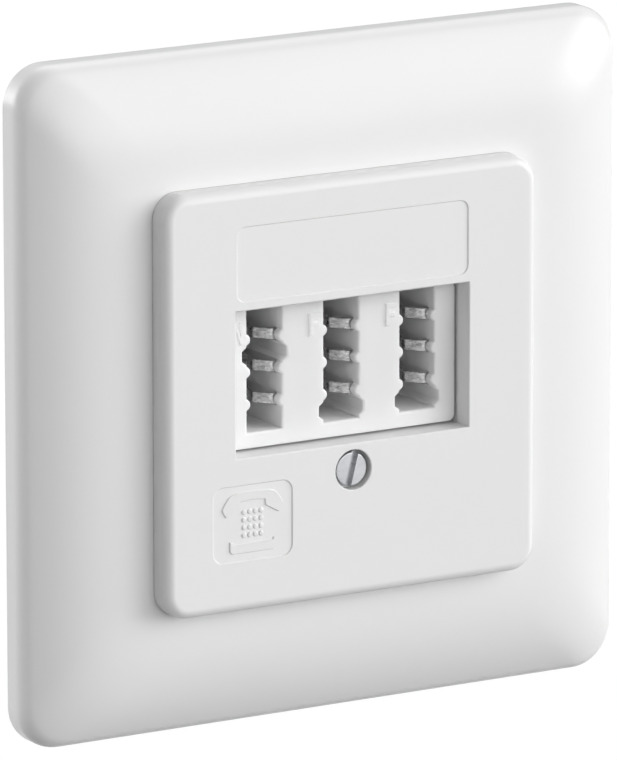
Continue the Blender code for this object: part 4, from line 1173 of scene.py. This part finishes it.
def build_rear_cover():
    """Cap over the board, with rounded rear edges and a sunk seat for each screw."""
    width = COVER_HIGH.x - COVER_LOW.x
    height = COVER_HIGH.z - COVER_LOW.z
    outline = rounded(width, height, COVER_CORNER, 0.0, (COVER_HIGH.z + COVER_LOW.z) / 2)
    inside_back = COVER_HIGH.y - COVER_WALL
    stations = [(inside_back, -COVER_WALL), (COVER_LOW.y, -COVER_WALL), (COVER_LOW.y, 0.0)]
    stations += round_edge(COVER_HIGH.y, COVER_EDGE, 1)
    made = prisms("cover_cap", [outline], stations)
    pillar_front = BOARD_HIGH.y + GAP
    pillars = [circle(POST_RADIUS, x, z) for x, z in COVER_SCREWS]
    join(made, "pillars", pillars, straight(pillar_front, inside_back + COVER_WALL / 2))
    seat = COVER_HIGH.y - COVER_HEAD_HEIGHT - GAP
    sinks = [circle(COVER_HEAD_RADIUS + GAP, x, z) for x, z in COVER_SCREWS]
    cut(made, "sinks", sinks, straight(seat, COVER_HIGH.y + PAST))
    bores = [circle(COVER_SHANK_RADIUS + GAP, x, z) for x, z in COVER_SCREWS]
    cut(made, "bores", bores, straight(pillar_front - PAST, COVER_HIGH.y))
    place_piece(soften(made), BLOCK_PLASTIC, "block_plastic", "rear_cover")

    sizes = (COVER_HEAD_RADIUS, COVER_HEAD_HEIGHT, COVER_SHANK_RADIUS, COVER_SHANK_LENGTH)
    screw = threaded_screw("cover_screw_pattern", *sizes, SMALL_SLOT, COVER_HEAD_HEIGHT / 2)
    screw.data.transform(Matrix.Translation((0.0, seat + GAP, 0.0)) @ FACE_BACK)
    screws = copies("cover_screws", screw, [(x, 0.0, z) for x, z in COVER_SCREWS], SCREW_STEEL)
    place_piece(soften(screws), SCREW_STEEL, "zinc_plated_steel", "cover_screw_1", "cover_screw_2")


def finish_board():
    """The board's own solid is flat and true, so it stays and gets its laminate."""
    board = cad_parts["contact_board"]
    board.data.materials.clear()
    board.data.materials.append(LAMINATE)


# Stage, light and camera
def build_stage():
    """Pale floor and white surroundings, seen white by the camera and in reflections."""
    floor_z = FRAME_LOW.z - GAP
    shape = bmesh.new()
    bmesh.ops.create_grid(shape, x_segments=1, y_segments=1, size=FLOOR_REACH)
    bmesh.ops.translate(shape, verts=shape.verts, vec=(0.0, 0.0, floor_z))
    floor = as_object("floor", shape)
    paint = bpy.data.materials.new("pale floor")
    paint.use_nodes = True
    tree = paint.node_tree
    tree.nodes.clear()
    seen = put(tree, "ShaderNodeLightPath").outputs
    bright = seen["Is Camera Ray"]
    for ray in ("Is Glossy Ray", "Is Transmission Ray"):
        bright = put(tree, "ShaderNodeMath", {0: bright, 1: seen[ray]}, operation="MAXIMUM").outputs[0]
    share = put(tree, "ShaderNodeMath", {0: bright, 1: FLOOR_WHITE_SHARE}, operation="MULTIPLY")
    matt = put(tree, "ShaderNodeBsdfDiffuse", {"Color": linear(FLOOR_GREY)}).outputs[0]
    glow = put(tree, "ShaderNodeEmission", {"Color": linear("FFFFFF"), "Strength": FLOOR_WHITE}).outputs[0]
    mixed = put(tree, "ShaderNodeMixShader", {0: share.outputs[0], 1: matt, 2: glow}).outputs[0]
    put(tree, "ShaderNodeOutputMaterial", {"Surface": mixed})
    floor.data.materials.append(paint)


def build_world():
    """Dark studio with large soft lights round the socket; the camera sees plain white."""
    world = bpy.data.worlds.new("studio")
    bpy.context.scene.world = world
    world.use_nodes = True
    tree = world.node_tree
    tree.nodes.clear()
    way = put(tree, "ShaderNodeTexCoord").outputs["Generated"]
    total = AMBIENT
    for turn, lift, strength in SOFT_LIGHTS:
        turn, lift = math.radians(turn), math.radians(lift)
        towards = (math.sin(turn) * math.cos(lift), -math.cos(turn) * math.cos(lift), math.sin(lift))
        near = put(tree, "ShaderNodeVectorMath", {0: way, 1: towards}, operation="DOT_PRODUCT")
        values = {0: near.outputs["Value"], 1: LIGHT_FOCUS, 2: -LIGHT_FOCUS}
        fall = put(tree, "ShaderNodeMath", values, operation="MULTIPLY_ADD").outputs[0]
        glow = put(tree, "ShaderNodeMath", {0: fall}, operation="EXPONENT").outputs[0]
        values = {0: glow, 1: strength, 2: total}
        total = put(tree, "ShaderNodeMath", values, operation="MULTIPLY_ADD").outputs[0]
    dim = put(tree, "ShaderNodeBackground", {"Color": linear("FFFFFF"), "Strength": total}).outputs[0]
    white = put(tree, "ShaderNodeBackground", {"Color": linear("FFFFFF"), "Strength": 1.0}).outputs[0]
    seen = put(tree, "ShaderNodeLightPath").outputs["Is Camera Ray"]
    mixed = put(tree, "ShaderNodeMixShader", {0: seen, 1: dim, 2: white}).outputs[0]
    put(tree, "ShaderNodeOutputWorld", {"Surface": mixed})


def build_camera():
    """Long lens at the photograph's angle: from the left and a little above."""
    turn, tilt = math.radians(CAMERA_TURN), math.radians(CAMERA_TILT)
    ahead = Vector((math.sin(turn) * math.cos(tilt), math.cos(turn) * math.cos(tilt), -math.sin(tilt)))
    right = Vector((math.cos(turn), -math.sin(turn), 0.0))
    up = right.cross(ahead)
    roll = Matrix.Rotation(math.radians(CAMERA_ROLL), 3, -ahead)
    data = bpy.data.cameras.new("camera")
    data.lens = CAMERA_LENS
    data.sensor_width = CAMERA_SENSOR
    data.clip_start = 0.01
    made = bpy.data.objects.new("camera", data)
    made.location = right * CAMERA_RIGHT + up * CAMERA_UP - ahead * CAMERA_DISTANCE
    made.rotation_euler = (roll @ Matrix((right, up, -ahead)).transposed()).to_euler()
    bpy.context.scene.collection.objects.link(made)
    bpy.context.scene.camera = made


bpy.context.scene.view_settings.view_transform = "Standard"
build_camera()
build_cover_frame()
build_centre_plate()
build_jack_block()
build_contacts()
build_centre_screw()
build_terminals()
build_screw_bush()
build_rivets()
build_support_ring()
build_rear_cover()
finish_board()
build_stage()
build_world()
